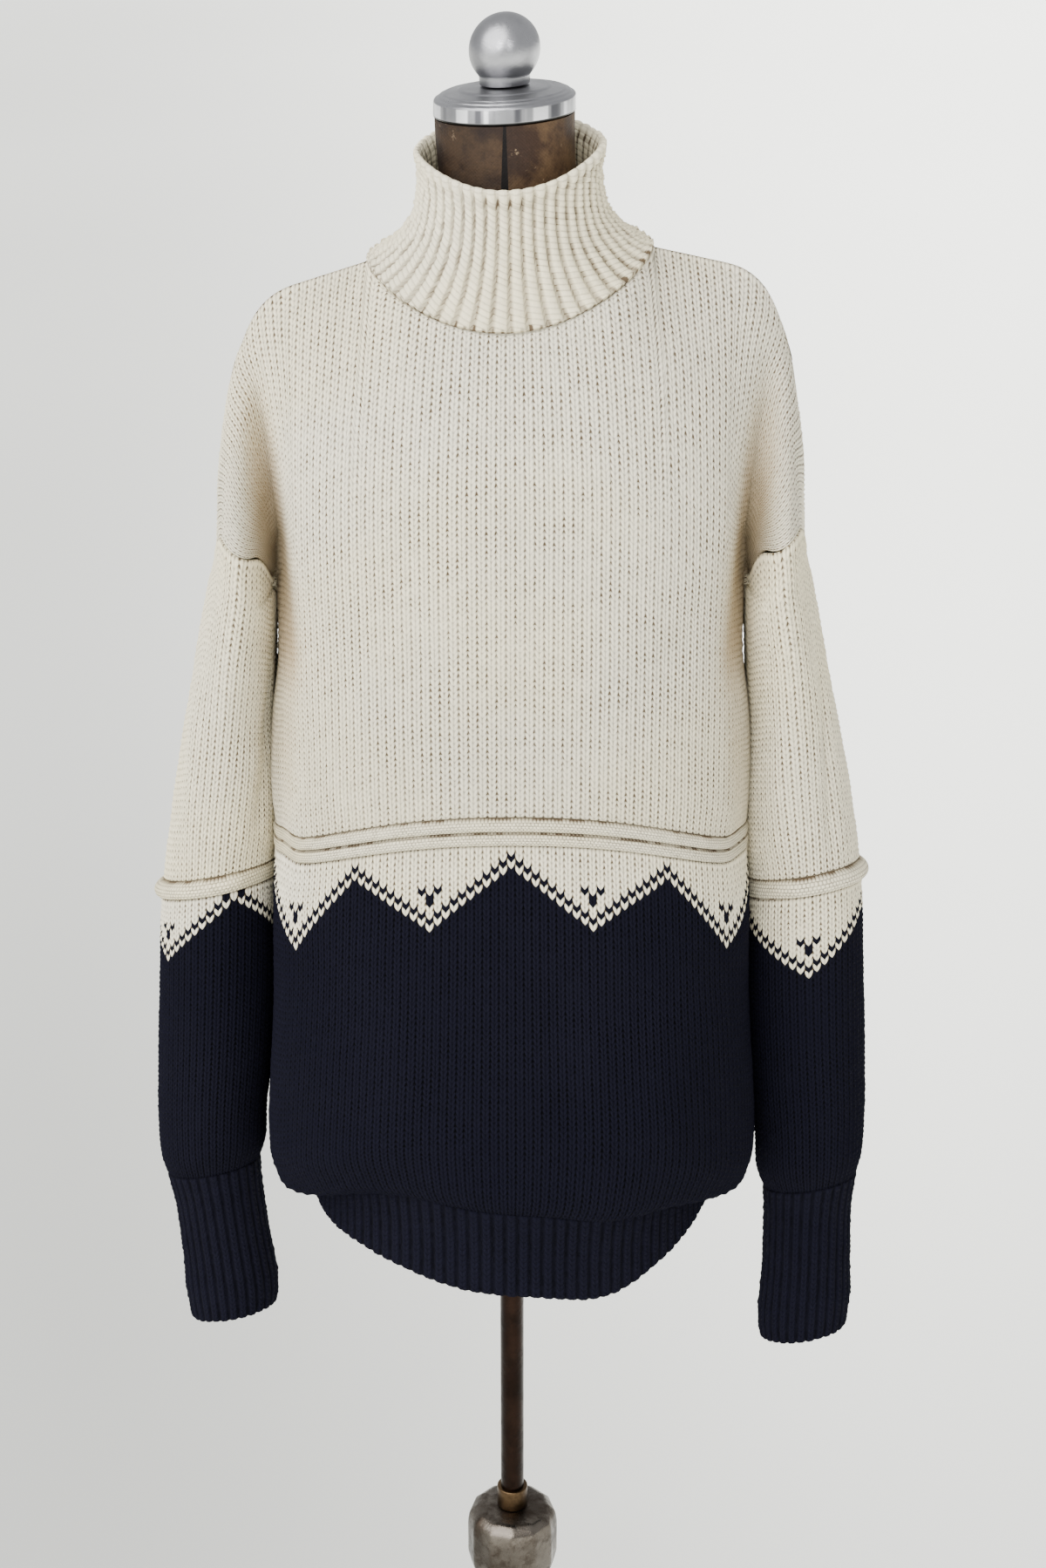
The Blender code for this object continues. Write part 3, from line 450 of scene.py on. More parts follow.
def down_columns(grid, shares):
    """Each column of a grid of points read at shares of that column's own length."""
    shares = np.broadcast_to(shares, (shares.shape[0], grid.shape[1]))
    return along_rows(grid.transpose(1, 0, 2), shares.T).transpose(1, 0, 2)


def bezier(start, start_pull, end_pull, end, share):
    """Cubic curves between rows of end points and pulls: (rows, shares, 3) points."""
    a = share[None, :, None]
    b = 1.0 - a
    start, start_pull, end_pull, end = (p[:, None, :] for p in (start, start_pull, end_pull, end))
    return b ** 3 * start + 3 * a * b * b * start_pull + 3 * a * a * b * end_pull + a ** 3 * end


def leaned(points):
    """Points with the right shoulder raised, and the front hem swayed to the right."""
    moved = points.copy()
    x, y, z = points[..., 0], points[..., 1], points[..., 2]
    moved[..., 2] += LEAN * x * smooth_step(z, LEAN_FROM, LEAN_FULL)
    at_hem = smooth_step(-z, -HEM_SWAY_FROM, -HEM_SWAY_FULL)
    at_front = smooth_step(-y, HEM_FRONT_FROM, HEM_FRONT_FULL)
    for middle, half_width, height in HEM_SWAY:
        moved[..., 2] += height * np.exp(-((x - middle) / half_width) ** 2) * at_hem * at_front
    return moved


def fold_height(folds, across, z):
    """Height of soft folds: a bell across each fold's line, fading at its two ends."""
    total = np.zeros_like(z)
    for from_across, from_z, to_across, to_z, half_width, height in folds:
        line = np.array([to_across - from_across, to_z - from_z])
        length = np.linalg.norm(line)
        line = line / length
        run = ((across - from_across) * line[0] + (z - from_z) * line[1]) / length
        off = (across - from_across) * line[1] - (z - from_z) * line[0]
        total += height * np.exp(-(off / half_width) ** 2) * np.exp(-((run - 0.5) / FOLD_REACH) ** 4)
    return total


def smooth_noise(shape, cell, rng):
    """Values from -1 to 1 on a grid: random at every cell's corner, S curves between."""
    rows, columns = shape[0] // cell[0] + 2, max(2, shape[1] // cell[1])
    coarse = rng.uniform(-1.0, 1.0, (rows, columns))
    row_place = np.arange(shape[0]) / cell[0]
    column_place = np.arange(shape[1]) * columns / shape[1]
    top, left = row_place.astype(int), column_place.astype(int) % columns
    down = smooth_step(row_place - top, 0.0, 1.0)[:, None]
    right = smooth_step(column_place - column_place.astype(int), 0.0, 1.0)[None, :]
    near = coarse[top][:, left] * (1 - right) + coarse[top][:, (left + 1) % columns] * right
    far = coarse[top + 1][:, left] * (1 - right) + coarse[top + 1][:, (left + 1) % columns] * right
    return near * (1 - down) + far * down


def outward_normals(grid, wrap):
    """Unit normals of a grid: across its rows and columns, and away from each row's middle."""
    down = np.gradient(grid, axis=0)
    if wrap:
        along = np.roll(grid, -1, axis=1) - np.roll(grid, 1, axis=1)
    else:
        along = np.gradient(grid, axis=1)
    normals = unit(np.cross(along, down))
    away = grid - grid.mean(axis=1, keepdims=True)
    return normals * np.sign(np.sum(normals * away))


class Shell:
    """Points and faces of one closed mesh, with a stitch map at each face corner."""

    def __init__(self):
        self.points = []
        self.count = 0
        self.blocks = []

    def add(self, points):
        """Add points, and return their numbers in the same grid shape."""
        flat = points.reshape(-1, 3)
        numbers = self.count + np.arange(len(flat)).reshape(points.shape[:-1])
        self.points.append(flat)
        self.count += len(flat)
        return numbers

    def faces(self, corners, chart):
        """Add faces: each row of corners is one face, chart holds its corners' map."""
        self.blocks.append((corners, chart))

    def skin(self, numbers, chart, turned=False):
        """Quads between the rows and columns of a grid of point numbers."""
        def quads(grid):
            """The four corners of every quad."""
            return np.stack([grid[:-1, :-1], grid[:-1, 1:], grid[1:, 1:], grid[1:, :-1]], axis=2)

        corners = quads(numbers).reshape(-1, 4)
        places = quads(chart).reshape(-1, 4, 2)
        if turned:
            corners, places = corners[:, ::-1], places[:, ::-1]
        self.faces(corners, places)

    def bridge(self, fine, coarse, chart, turned=False):
        """Faces from a line of points to a coarser line beside it, one for each coarse span."""
        spans = len(coarse) - 1
        ratio = (len(fine) - 1) // spans
        first = np.arange(spans)[:, None] * ratio
        take = first + np.arange(ratio + 1)[None, :]
        corners = np.concatenate([fine[take], coarse[1:, None], coarse[:-1, None]], axis=1)
        places = np.concatenate([chart[take], chart[take[:, -1:]], chart[take[:, :1]]], axis=1)
        if turned:
            corners, places = corners[:, ::-1], places[:, ::-1]
        self.faces(corners, places)

    def fan(self, ring, centre, turned=False):
        """Triangles from a closed ring of points to a centre point."""
        middle = self.add(np.array(centre, dtype=float).reshape(1, 3))
        following = np.roll(ring, -1)
        corners = np.stack([ring, following, np.full(len(ring), middle[0])], axis=1)
        if turned:
            corners = corners[:, ::-1]
        self.faces(corners, np.zeros((len(ring), 3, 2)))

    def volume(self, points):
        """Signed volume: each face's fan of triangles, taken to the origin."""
        total = 0.0
        for corners, _ in self.blocks:
            first = points[corners[:, 0]]
            for k in range(1, corners.shape[1] - 1):
                total += np.sum(first * np.cross(points[corners[:, k]], points[corners[:, k + 1]]))
        return total / 6.0

    def make(self, name, material):
        """The finished object, with its faces pointing outwards."""
        points = np.concatenate(self.points)
        if self.volume(points) < 0:
            self.blocks = [(corners[:, ::-1], chart[:, ::-1]) for corners, chart in self.blocks]
        loops = np.concatenate([corners.ravel() for corners, _ in self.blocks])
        totals = np.concatenate([np.full(len(c), c.shape[1]) for c, _ in self.blocks])
        starts = np.concatenate([[0], np.cumsum(totals)[:-1]])
        chart = np.concatenate([places.reshape(-1, 2) for _, places in self.blocks])
        mesh = bpy.data.meshes.new(name)
        mesh.vertices.add(len(points))
        mesh.vertices.foreach_set("co", points.ravel().astype(np.float32))
        mesh.loops.add(len(loops))
        mesh.loops.foreach_set("vertex_index", loops.astype(np.int32))
        mesh.polygons.add(len(totals))
        mesh.polygons.foreach_set("loop_start", starts.astype(np.int32))
        mesh.update(calc_edges=True)
        mesh.shade_smooth()
        layer = mesh.uv_layers.new(name="stitches")
        layer.data.foreach_set("uv", chart.ravel().astype(np.float32))
        mesh.validate()
        piece = bpy.data.objects.new(name, mesh)
        mesh.materials.append(material)
        bpy.context.scene.collection.objects.link(piece)
        return piece


def knit_lattice(base, stitch, wrap, offset, seed):
    """Outer points of a knitted wall, its stitch map and its base's normals.

    Base points lie at whole rows and at each line across the stitches. A lattice
    point is read between two base rows at half its number plus its line's skew,
    and is raised along the normal by its line's share, less between two rows,
    and less where the stitches are narrow or short.
    """
    rows, columns = base.shape[0] - 1, base.shape[1]
    lines = len(stitch.across)
    rng = np.random.default_rng(seed)
    normals = outward_normals(base, wrap)
    line = (np.arange(columns) + offset) % lines
    step = np.arange(2 * rows + 1)[:, None]
    taper = smooth_step(np.minimum(step, 2 * rows - step) / 2.0, 0.0, 1.0)
    cell = (UNEVEN_CELL[0], UNEVEN_CELL[1] * lines)
    drift = smooth_noise((2 * rows + 1, columns), cell, rng) * UNEVEN_ROWS
    place = step / 2.0 + (np.array(stitch.skew)[line] + drift) * taper
    place = np.clip(place, 0.0, rows - TINY)
    top = place.astype(int)
    part = (place - top)[..., None]
    column = np.arange(columns)[None, :]
    points = base[top, column] * (1.0 - part) + base[top + 1, column] * part
    ways = unit(normals[top, column] * (1.0 - part) + normals[top + 1, column] * part)
    width = np.linalg.norm(np.gradient(base, axis=1), axis=2) * lines / FULL_STITCH
    height = np.linalg.norm(np.gradient(base, axis=0), axis=2) / FULL_ROW
    room = np.clip(np.minimum(width, height), 0.0, 1.0)[top, column]
    uneven = 1.0 + UNEVEN_RAISE * (rng.random((rows + 2, columns // lines + 2)) - 0.5)
    uneven = uneven[step // 2, (column + offset) // lines]
    along = np.where(step % 2 == 0, stitch.low, 1.0)
    raised = stitch.height * np.array(stitch.across)[line] * along * room * uneven
    spots = np.arange(columns + (1 if wrap else 0)) + offset
    chart = np.stack(np.broadcast_arrays(spots[None, :] / lines, step / 2.0), axis=-1)
    return points + ways * raised[..., None], chart, normals


def curled_rows(edge, inner_edge, way):
    """Rows that carry a wall's edge round to its inner edge along a half circle."""
    middle = (edge + inner_edge) / 2.0
    arm = edge - middle
    radius = np.linalg.norm(arm, axis=-1, keepdims=True)
    angles = np.pi * np.arange(1, CURL_ROWS + 1)[:, None, None] / (CURL_ROWS + 1)
    return middle + arm * np.cos(angles) + way * radius * np.sin(angles)


def knit_wall(name, base, stitch, wall, material, wrap=False, offset=0, seed=0, curl=()):
    """A closed knitted wall: raised outer lattice, plain inside, rims, and curled edges."""
    outer, chart, normals = knit_lattice(base, stitch, wrap, offset, seed)
    lines = len(stitch.across)
    inner = (base - normals * wall)[::2, ::lines]
    for end in curl:
        index, other, sign = (0, 1, -1.0) if end == "top" else (-1, -2, 1.0)
        way = unit(base[index] - base[other])
        extra = curled_rows(outer[index], base[index] - normals[index] * wall, way)
        step = np.broadcast_to(chart[index], (CURL_ROWS,) + chart[index].shape).copy()
        step[..., 1] += np.arange(1, CURL_ROWS + 1)[:, None] * (sign * CURL_STEP)
        if end == "top":
            outer = np.concatenate([extra[::-1], outer])
            chart = np.concatenate([step[::-1], chart])
        else:
            outer = np.concatenate([outer, extra])
            chart = np.concatenate([chart, step])
    shell = Shell()
    front = shell.add(outer)
    back = shell.add(inner)
    if wrap:
        front = np.concatenate([front, front[:, :1]], axis=1)
        back = np.concatenate([back, back[:, :1]], axis=1)
    shell.skin(front, chart)
    skipped = CURL_ROWS if "top" in curl else 0
    last = skipped + 2 * (base.shape[0] - 1)
    inner_chart = chart[skipped:last + 1:4, ::lines]
    shell.skin(back, inner_chart, turned=True)
    shell.bridge(front[0], back[0], chart[0], turned=True)
    shell.bridge(front[-1], back[-1], chart[-1])
    if not wrap:
        shell.bridge(front[:, 0], back[:, 0], chart[:, 0])
        shell.bridge(front[:, -1], back[:, -1], chart[:, -1], turned=True)
    return shell.make(name, material)


def rippled(base, wrap, seed):
    """A base pushed out by slow noise, by up to twice the ripple, fading to its edges."""
    rng = np.random.default_rng(seed)
    rows, columns = base.shape[:2]
    noise = smooth_noise((rows, columns), RIPPLE_CELL, rng) + 1.0
    row, column = np.arange(rows), np.arange(columns)
    fade = smooth_step(np.minimum(row, row[::-1]), 0.0, RIPPLE_FADE_ROWS)[:, None]
    if not wrap:
        side = smooth_step(np.minimum(column, column[::-1]), 0.0, RIPPLE_FADE_COLUMNS)
        fade = fade * side[None, :]
    return base + outward_normals(base, wrap) * (RIPPLE * noise * fade)[..., None]


# The body

def section_front(levels, x, face):
    """Level rows between the middle and the crease: a superellipse whose height sags sideways."""
    z_centre, z_side, half_width, front, back = (levels[:, k, None] for k in range(5))
    depth = front if face < 0 else back
    at_hem = smooth_step(-z_centre, -HEM_POWER_FROM, -BODY_LEVELS[-1, 0])
    power = BODY_POWER + (HEM_POWER - BODY_POWER) * at_hem
    share = x / half_width
    y = face * depth * (1.0 - share ** power) ** (1.0 / power)
    z = z_centre + (z_side - z_centre) * share ** SAG_POWER
    return np.stack(np.broadcast_arrays(x, y, z), axis=-1)


def neck_and_shoulder(x, face):
    """Depth and height of the panel's top edge at distance x from the middle."""
    depth, low_z = NECK_FRONT if face < 0 else NECK_BACK
    share = np.clip(x / NECK_HALF_WIDTH, 0.0, 1.0)
    edge_y = face * np.maximum(depth * np.sqrt(1.0 - share ** 2), GAP / 2)
    neck_z = low_z + (NECK_SIDE_Z - low_z) * share ** 2
    shoulder_z = NECK_SIDE_Z - SHOULDER_SLOPE * (x - NECK_HALF_WIDTH)
    return edge_y, np.where(x < NECK_HALF_WIDTH, neck_z, shoulder_z)


def chest_front(rise, x, face):
    """Rows above the underarm between the middle and the crease.

    Height runs straight from the underarm row to the neck and shoulder edge with
    the rise, and depth with the rise to its third power. The edge is a weighted
    mean over a reach that grows from nothing at the edge itself to the underarm.
    """
    low = section_front(BODY_LEVELS[:1], x, face)
    reach = CORNER_REACH * (1.0 - rise) ** CORNER_POWER
    steps = np.linspace(-1.0, 1.0, CORNER_SAMPLES)
    weights = CORNER_PEAK - np.abs(steps)
    weights = weights / np.sum(weights)
    edges = [neck_and_shoulder(np.abs(x + step * reach), face) for step in steps]
    edge_y = sum(weight * edge[0] for weight, edge in zip(weights, edges))
    edge_z = sum(weight * edge[1] for weight, edge in zip(weights, edges))
    lean_in = rise ** CHEST_POWER
    y = low[..., 1] * (1.0 - lean_in) + edge_y * lean_in
    z = low[..., 2] * (1.0 - rise) + edge_z * rise
    return np.stack(np.broadcast_arrays(x, y, z), axis=-1)


def armhole_points(rise, face):
    """The dropped armhole: a tilted half oval, eased into the underarm corner."""
    angle = math.pi * rise
    oval = np.stack([
        ARMHOLE_CENTRE_X - ARMHOLE_HALF_X * np.cos(angle),
        face * np.maximum(ARMHOLE_HALF_Y * np.sin(angle), GAP / 2),
        ARMHOLE_INNER_Z + (ARMHOLE_OUTER_Z - ARMHOLE_INNER_Z) * (0.5 - 0.5 * np.cos(angle)),
    ], axis=-1)
    corner = np.array([UNDERARM[0], face * GAP / 2, UNDERARM[2]])
    start = np.array([ARMHOLE_CENTRE_X - ARMHOLE_HALF_X, face * GAP / 2, ARMHOLE_INNER_Z])
    return oval + (corner - start) * (1.0 - smooth_step(rise, 0.0, UNDERARM_BLEND))[:, None]


def torso_x(rise, lines):
    """Distances of the torso's lines: even along the underarm row, even across at the neck."""
    x = np.linspace(0.0, CREASE_X, UNDERARM_SAMPLES)
    row = section_front(BODY_LEVELS[:1], x[None], -1)[0]
    reach = np.concatenate([[0.0], np.cumsum(np.linalg.norm(np.diff(row, axis=0), axis=1))])
    share = np.arange(lines + 1) / lines
    even = np.interp(share, reach / reach[-1], x)
    return even * (1.0 - rise ** 2) + CREASE_X * share * rise ** 2


def chest_half(face, rise, lines):
    """Rows above the underarm, to the crease and then down the upper arm."""
    rise = rise[:, None]
    middle = chest_front(rise, torso_x(rise, lines), face)
    start = middle[:, -1]
    before = chest_front(rise, np.full_like(rise, CREASE_X - TANGENT_STEP), face)[:, 0]
    end = armhole_points(rise[:, 0], face)
    reach = np.linalg.norm(end - start, axis=1, keepdims=True)
    start_pull = start + unit(start - before) * np.minimum(SIDE_PULL * reach, SHOULDER_PULL)
    side_way = np.array([0.0, face, 0.0]) * SIDE_PULL * reach
    arm_way = ARM_PULL * (UNDERARM_PULL_SHARE + (1.0 - UNDERARM_PULL_SHARE) * rise)
    grown = smooth_step(rise, 0.0, UNDERARM_BLEND)
    end_pull = end + side_way * (1.0 - grown) + arm_way * grown
    return middle, bezier(start, start_pull, end_pull, end, np.linspace(0.0, 1.0, CURVE_SAMPLES))


def body_half(face, levels, x):
    """Rows below the underarm, to the crease and then round to the side seam."""
    middle = section_front(levels, x, face)
    start = middle[:, -1]
    before = section_front(levels, np.full((len(levels), 1), CREASE_X - TANGENT_STEP), face)[:, 0]
    near_arm = smooth_step(levels[:, 1], UNDERARM[2] - SIDE_EASE_HEIGHT, UNDERARM[2])
    wide = levels[:, 2] + (UNDERARM[0] - BODY_LEVELS[0, 2]) * near_arm
    end = np.stack([wide, np.full(len(levels), face * GAP / 2), levels[:, 1]], axis=-1)
    pull = SIDE_PULL * np.linalg.norm(end - start, axis=1, keepdims=True)
    start_pull = start + unit(start - before) * pull
    end_pull = end + np.array([0.0, face, 0.0]) * pull
    return middle, bezier(start, start_pull, end_pull, end, np.linspace(0.0, 1.0, CURVE_SAMPLES))


def whole_panel(half, face):
    """Both halves of a panel with its soft folds."""
    mirrored = half[:, :0:-1] * np.array([-1.0, 1.0, 1.0])
    full = np.concatenate([mirrored, half], axis=1)
    folds = FRONT_FOLDS if face < 0 else BACK_FOLDS
    inside = smooth_step(CREASE_X + FOLD_EDGE - np.abs(full[..., 0]), 0.0, FOLD_EDGE_FADE)
    lift = fold_height(folds, full[..., 0], full[..., 2]) * inside
    full[..., 1] += face * (lift + fold_height(CREASE_FOLDS, full[..., 0], full[..., 2]))
    full[..., 1] = face * np.maximum(face * full[..., 1], GAP / 2)
    return full


def chest_shares(grid):
    """Where the chest's rows lie down each column: rows of one height from the
    underarm up, and those left over pressed into the last hundredth of the way."""
    long = np.linalg.norm(np.diff(grid, axis=0), axis=2).sum(axis=0)
    filled = np.minimum(long / ROW_HEIGHT, CHEST_ROWS)
    left_over = CHEST_ROWS - filled
    pressed = PRESSED_SHARE * np.clip(left_over / 2.0, 0.0, 1.0)
    number = np.arange(CHEST_ROWS, -1, -1)[:, None]
    plain = number / filled * (1.0 - pressed)
    beyond = 1.0 - pressed + pressed * (number - filled) / np.maximum(left_over, TINY)
    return 1.0 - np.where(number <= filled, plain, beyond)


def seam_share(arm, rise):
    """Share of each arm row's length at which the lifted armhole seam cuts it."""
    long = np.linalg.norm(np.diff(arm, axis=1), axis=2).sum(axis=1)
    grown = smooth_step(rise, 0.0, SEAM_LIFT_FULL)
    faded = smooth_step(rise, SEAM_LIFT_FADE, 1.0)
    return (1.0 - SEAM_LIFT * grown * (1.0 - faded) / long)[:, None]


def crowded(share, crowd):
    """Even shares of a way drawn together towards its end, by their square."""
    return share * (1.0 + crowd) - crowd * share ** 2


def upper_base(face):
    """Base of an ivory panel, from the neck and shoulders to the welt."""
    lines = TORSO_STITCHES * LINES
    rise = np.linspace(1.0, 0.0, CHEST_SAMPLES)
    chest, arm = chest_half(face, rise, lines)
    levels = smooth_table(BODY_LEVELS[:WELT_TOP_LEVEL + 1], np.linspace(0.0, 1.0, BODY_SAMPLES))
    x = torso_x(np.zeros((len(levels), 1)), lines)
    body, side = body_half(face, levels, x)
    share = np.arange(1, ARM_STITCHES * LINES + 1) / (ARM_STITCHES * LINES)
    crowd = ARM_CROWD * (1.0 - smooth_step(rise, 0.0, ARM_CROWD_TO))[:, None]
    arm = along_rows(arm, crowded(share, crowd) * seam_share(arm, rise))
    side = along_rows(side, crowded(share, ARM_CROWD))
    chest = whole_panel(np.concatenate([chest, arm], axis=1), face)
    body = whole_panel(np.concatenate([body, side], axis=1), face)
    rows = np.arange(UPPER_ROWS + 1)[1:, None] / UPPER_ROWS
    return np.concatenate([down_columns(chest, chest_shares(chest)), down_columns(body, rows)])


def lower_half(face, levels):
    """Rows of a navy panel's half at even lines from the middle to the side seam."""
    x = np.broadcast_to(np.linspace(0.0, CREASE_X, ROW_SAMPLES), (len(levels), ROW_SAMPLES))
    middle, side = body_half(face, levels, x)
    whole = np.concatenate([middle, side[:, 1:]], axis=1)
    return along_rows(whole, np.arange(LOWER_STITCHES * LINES + 1) / (LOWER_STITCHES * LINES))


def lower_base(face):
    """Base of a navy panel, from the welt over the blouse to the hem rib."""
    levels = smooth_table(BODY_LEVELS[WELT_FOOT_LEVEL:], np.linspace(0.0, 1.0, LOWER_SAMPLES))
    full = whole_panel(lower_half(face, levels), face)
    return down_columns(full, np.arange(LOWER_ROWS + 1)[:, None] / LOWER_ROWS)


def closed_ring(front, back, count):
    """Even points round a front row and a back row joined at the side seams."""
    ring = np.concatenate([front, back[::-1], front[:1]])
    return along_rows(ring[None], np.arange(count) / count)[0]


def ring_outward(ring):
    """Level unit vectors that point out of a closed ring."""
    along = np.roll(ring, -1, axis=0) - np.roll(ring, 1, axis=0)
    out = unit(np.stack([along[:, 1], -along[:, 0], np.zeros(len(ring))], axis=-1))
    return out * np.sign(np.sum(out * (ring - ring.mean(axis=0))))


def hem_base(front_foot, back_foot):
    """Base of the hem rib: the panels' feet drawn in, then out again to the edge."""
    ring = closed_ring(front_foot, back_foot, HEM_RIBS * len(RIB.across))
    out = ring_outward(ring)
    table = smooth_table(np.array(HEM_LEVELS), np.linspace(0.0, 1.0, HEM_ROWS + 1))
    base = ring[None] + out[None] * table[:, 1, None, None]
    drop = (HEM_LEVELS[0][0] - table[:, 0, None]) / (HEM_LEVELS[0][0] - HEM_LEVELS[-1][0])
    side = np.abs(ring[None, :, 0] / ring[:, 0].max())
    base[..., 2] = table[:, 0, None] + HEM_SIDE_LIFT * drop * side ** HEM_SIDE_POWER
    return base


def collar_base():
    """Base of the collar: ovals from its top down to the neck edge."""
    table = smooth_table(COLLAR_LEVELS, np.linspace(0.0, 1.0, COLLAR_SAMPLES))
    lines = COLLAR_RIBS * len(TWISTED.across)
    angle = np.arange(lines) * 2.0 * math.pi / lines
    half_width, front, back, z_front, z_side, z_back = (table[:, k, None] for k in range(6))
    forward = np.cos(angle)[None]
    depth = np.where(forward > 0, front, back)
    end_z = np.where(forward > 0, z_front, z_back)
    ovals = np.stack([
        half_width * np.sin(angle)[None],
        -depth * forward,
        z_side + (end_z - z_side) * forward ** 2,
    ], axis=-1)
    base = down_columns(ovals, np.arange(COLLAR_ROWS + 1)[:, None] / COLLAR_ROWS)
    row = np.arange(COLLAR_ROWS + 1)[:, None, None]
    rim = COLLAR_RIM * np.exp(-(row / COLLAR_RIM_ROWS) ** 2)
    seam = COLLAR_SEAM * np.exp(-((COLLAR_ROWS - row) / COLLAR_SEAM_ROWS) ** 2)
    return base + outward_normals(base, True) * (rim + seam)


def sleeve_strip(side, angle):
    """The arm's surface between the lifted seam and the armhole ring, at the ring's angles."""
    in_front = angle <= math.pi
    strip = []
    for face, rise in ((-1, angle[in_front] / math.pi), (1, 2.0 - angle[~in_front] / math.pi)):
        arm = chest_half(face, rise, TORSO_STITCHES * LINES)[1]
        arm[..., 0] *= SIDE_SIGN[side]
        arm[..., 1] += face * fold_height(CREASE_FOLDS, arm[..., 0], arm[..., 2])
        cut = seam_share(arm, rise)
        strip.append(along_rows(arm, cut + (1.0 - cut) * np.linspace(0.0, 1.0, STRIP_SAMPLES)))
    return np.concatenate(strip).transpose(1, 0, 2)


def sleeve_base(side, first, last, stitches, rows, lines=LINES):
    """Base of a stretch of sleeve: tipped ovals from its inner side round by the front."""
    table = SLEEVE_LEVELS.copy()
    welt_z = table[SLEEVE_WELT_TOP, 0]
    below = table[:, 0] < welt_z
    table[below, 0] = welt_z + (table[below, 0] - welt_z) * SLEEVE_STRETCH[side]
    levels = smooth_table(table[first:last + 1], np.linspace(0.0, 1.0, SLEEVE_SAMPLES))
    z, middle_x, middle_y, half_x, half_y = (levels[:, k, None] for k in range(5))
    angle = np.linspace(0.0, 2.0 * math.pi, OVAL_SAMPLES)[None]
    sign = SIDE_SIGN[side]
    drift = CUFF_DRIFT[side] * smooth_step(-z, -CUFF_DRIFT_FROM, -SLEEVE_LEVELS[-1, 0])
    across = -sign * half_x * np.cos(angle)
    depth = -half_y * np.sin(angle)
    tip = smooth_step(-z, -SLEEVE_TIP_FROM, -SLEEVE_TIP_FULL)
    tilt = (ARMHOLE_OUTER_Z - ARMHOLE_INNER_Z) / 2.0
    tilt = tilt * smooth_step(z, ARMHOLE_TILT_TO, SLEEVE_LEVELS[0, 0])
    rise = (across * SLEEVE_TIP_RIGHT - depth * SLEEVE_TIP_FRONT) * tip - tilt * np.cos(angle)
    ovals = np.stack(np.broadcast_arrays(
        sign * (middle_x + drift) + across, middle_y + depth, z + rise,
    ), axis=-1)
    shares = np.arange(stitches * lines) / (stitches * lines)
    even = along_rows(ovals, shares)
    if first == 0:
        ring = even[0]
        inwards = (ARMHOLE_CENTRE_X - sign * ring[:, 0]) / ARMHOLE_HALF_X
        turn = np.arctan2(-ring[:, 1] / ARMHOLE_HALF_Y, inwards)
        even = np.concatenate([sleeve_strip(side, turn % (2.0 * math.pi)), even[1:]])
        even[..., 2] -= GAP
    base = down_columns(even, np.arange(rows + 1)[:, None] / rows)
    lift = fold_height(SLEEVE_FOLDS[side], np.broadcast_to(shares, base.shape[:2]), base[..., 2])
    if first == 0:
        lift += SEAM_RIDGE * np.exp(-(np.arange(rows + 1) / SEAM_RIDGE_ROWS) ** 2)[:, None]
    return base + outward_normals(base, True) * lift[..., None]


def rolled_welt(name, top, foot, roll, rolls, hug, stitches, material):
    """A tube round the body or sleeve: rolls swell by the root of a sine between two rings."""
    out = ring_outward(top)
    drop = np.linspace(0.0, 1.0, WELT_STEPS * rolls + 1)
    swell = roll * np.abs(np.sin(math.pi * rolls * drop)) ** WELT_ROUNDNESS
    top = top - np.array([0.0, 0.0, GAP])
    foot = foot + np.array([0.0, 0.0, GAP])
    outer = top + (foot - top) * drop[:, None, None] + out * swell[:, None, None] * hug[None, :, None]
    inner = top + (foot - top) * np.array([0.0, 0.5, 1.0])[::-1, None, None] - out * PANEL_WALL
    grid = np.concatenate([outer, inner])
    shell = Shell()
    numbers = shell.add(leaned(grid))
    numbers = np.concatenate([numbers, numbers[:, :1]], axis=1)
    numbers = np.concatenate([numbers, numbers[:1]])
    round_it = np.arange(top.shape[0] + 1) * stitches / top.shape[0]
    down = np.arange(len(grid) + 1) / 2.0
    chart = np.stack(np.broadcast_arrays(round_it[None, :], down[:, None]), axis=-1)
    shell.skin(numbers, chart)
    return shell.make(name, material)


# Turned pieces of the form and stand

def capped(name, grid, ends, material, sharp_angle):
    """A closed skin over a grid of rings, with a fan of triangles at both ends."""
    shell = Shell()
    numbers = shell.add(grid)
    closed = np.concatenate([numbers, numbers[:, :1]], axis=1)
    shell.skin(closed, np.zeros(closed.shape + (2,)))
    shell.fan(numbers[0], ends[0], turned=True)
    shell.fan(numbers[-1], ends[1])
    piece = shell.make(name, material)
    piece.data.set_sharp_from_angle(angle=math.radians(sharp_angle))
    return piece


def turned(name, profile, columns, material, facets=0, tilted=False):
    """A solid of revolution: its profile carried round, with a flat middle at both ends.

    With facets, the radius follows a regular polygon: the facet's cosine over the
    cosine of the angle from its middle.
    """
    profile = np.array(profile)
    angle = np.arange(columns) * 2.0 * math.pi / columns
    wide = np.ones(columns)
    if facets:
        wedge = 2.0 * math.pi / facets
        wide = math.cos(wedge / 2) / np.cos((angle % wedge) - wedge / 2)
    grid = np.stack(np.broadcast_arrays(
        profile[:, :1] * wide * np.cos(angle),
        profile[:, :1] * wide * np.sin(angle),
        profile[:, 1:],
    ), axis=-1)
    ends = [(0.0, 0.0, profile[0, 1]), (0.0, 0.0, profile[-1, 1])]
    if tilted:
        grid = tilted_points(grid)
        ends = [tilted_points(np.array([end]))[0] for end in ends]
    return capped(name, grid, ends, material, TURNED_SHARP_ANGLE)


def tilted_points(points):
    """Points moved with the neck's tilt and shift."""
    moved = points.copy()
    moved[..., 2] += LEAN * (points[..., 0] + NECK_SHIFT_X)
    moved[..., 0] += NECK_SHIFT_X
    return moved


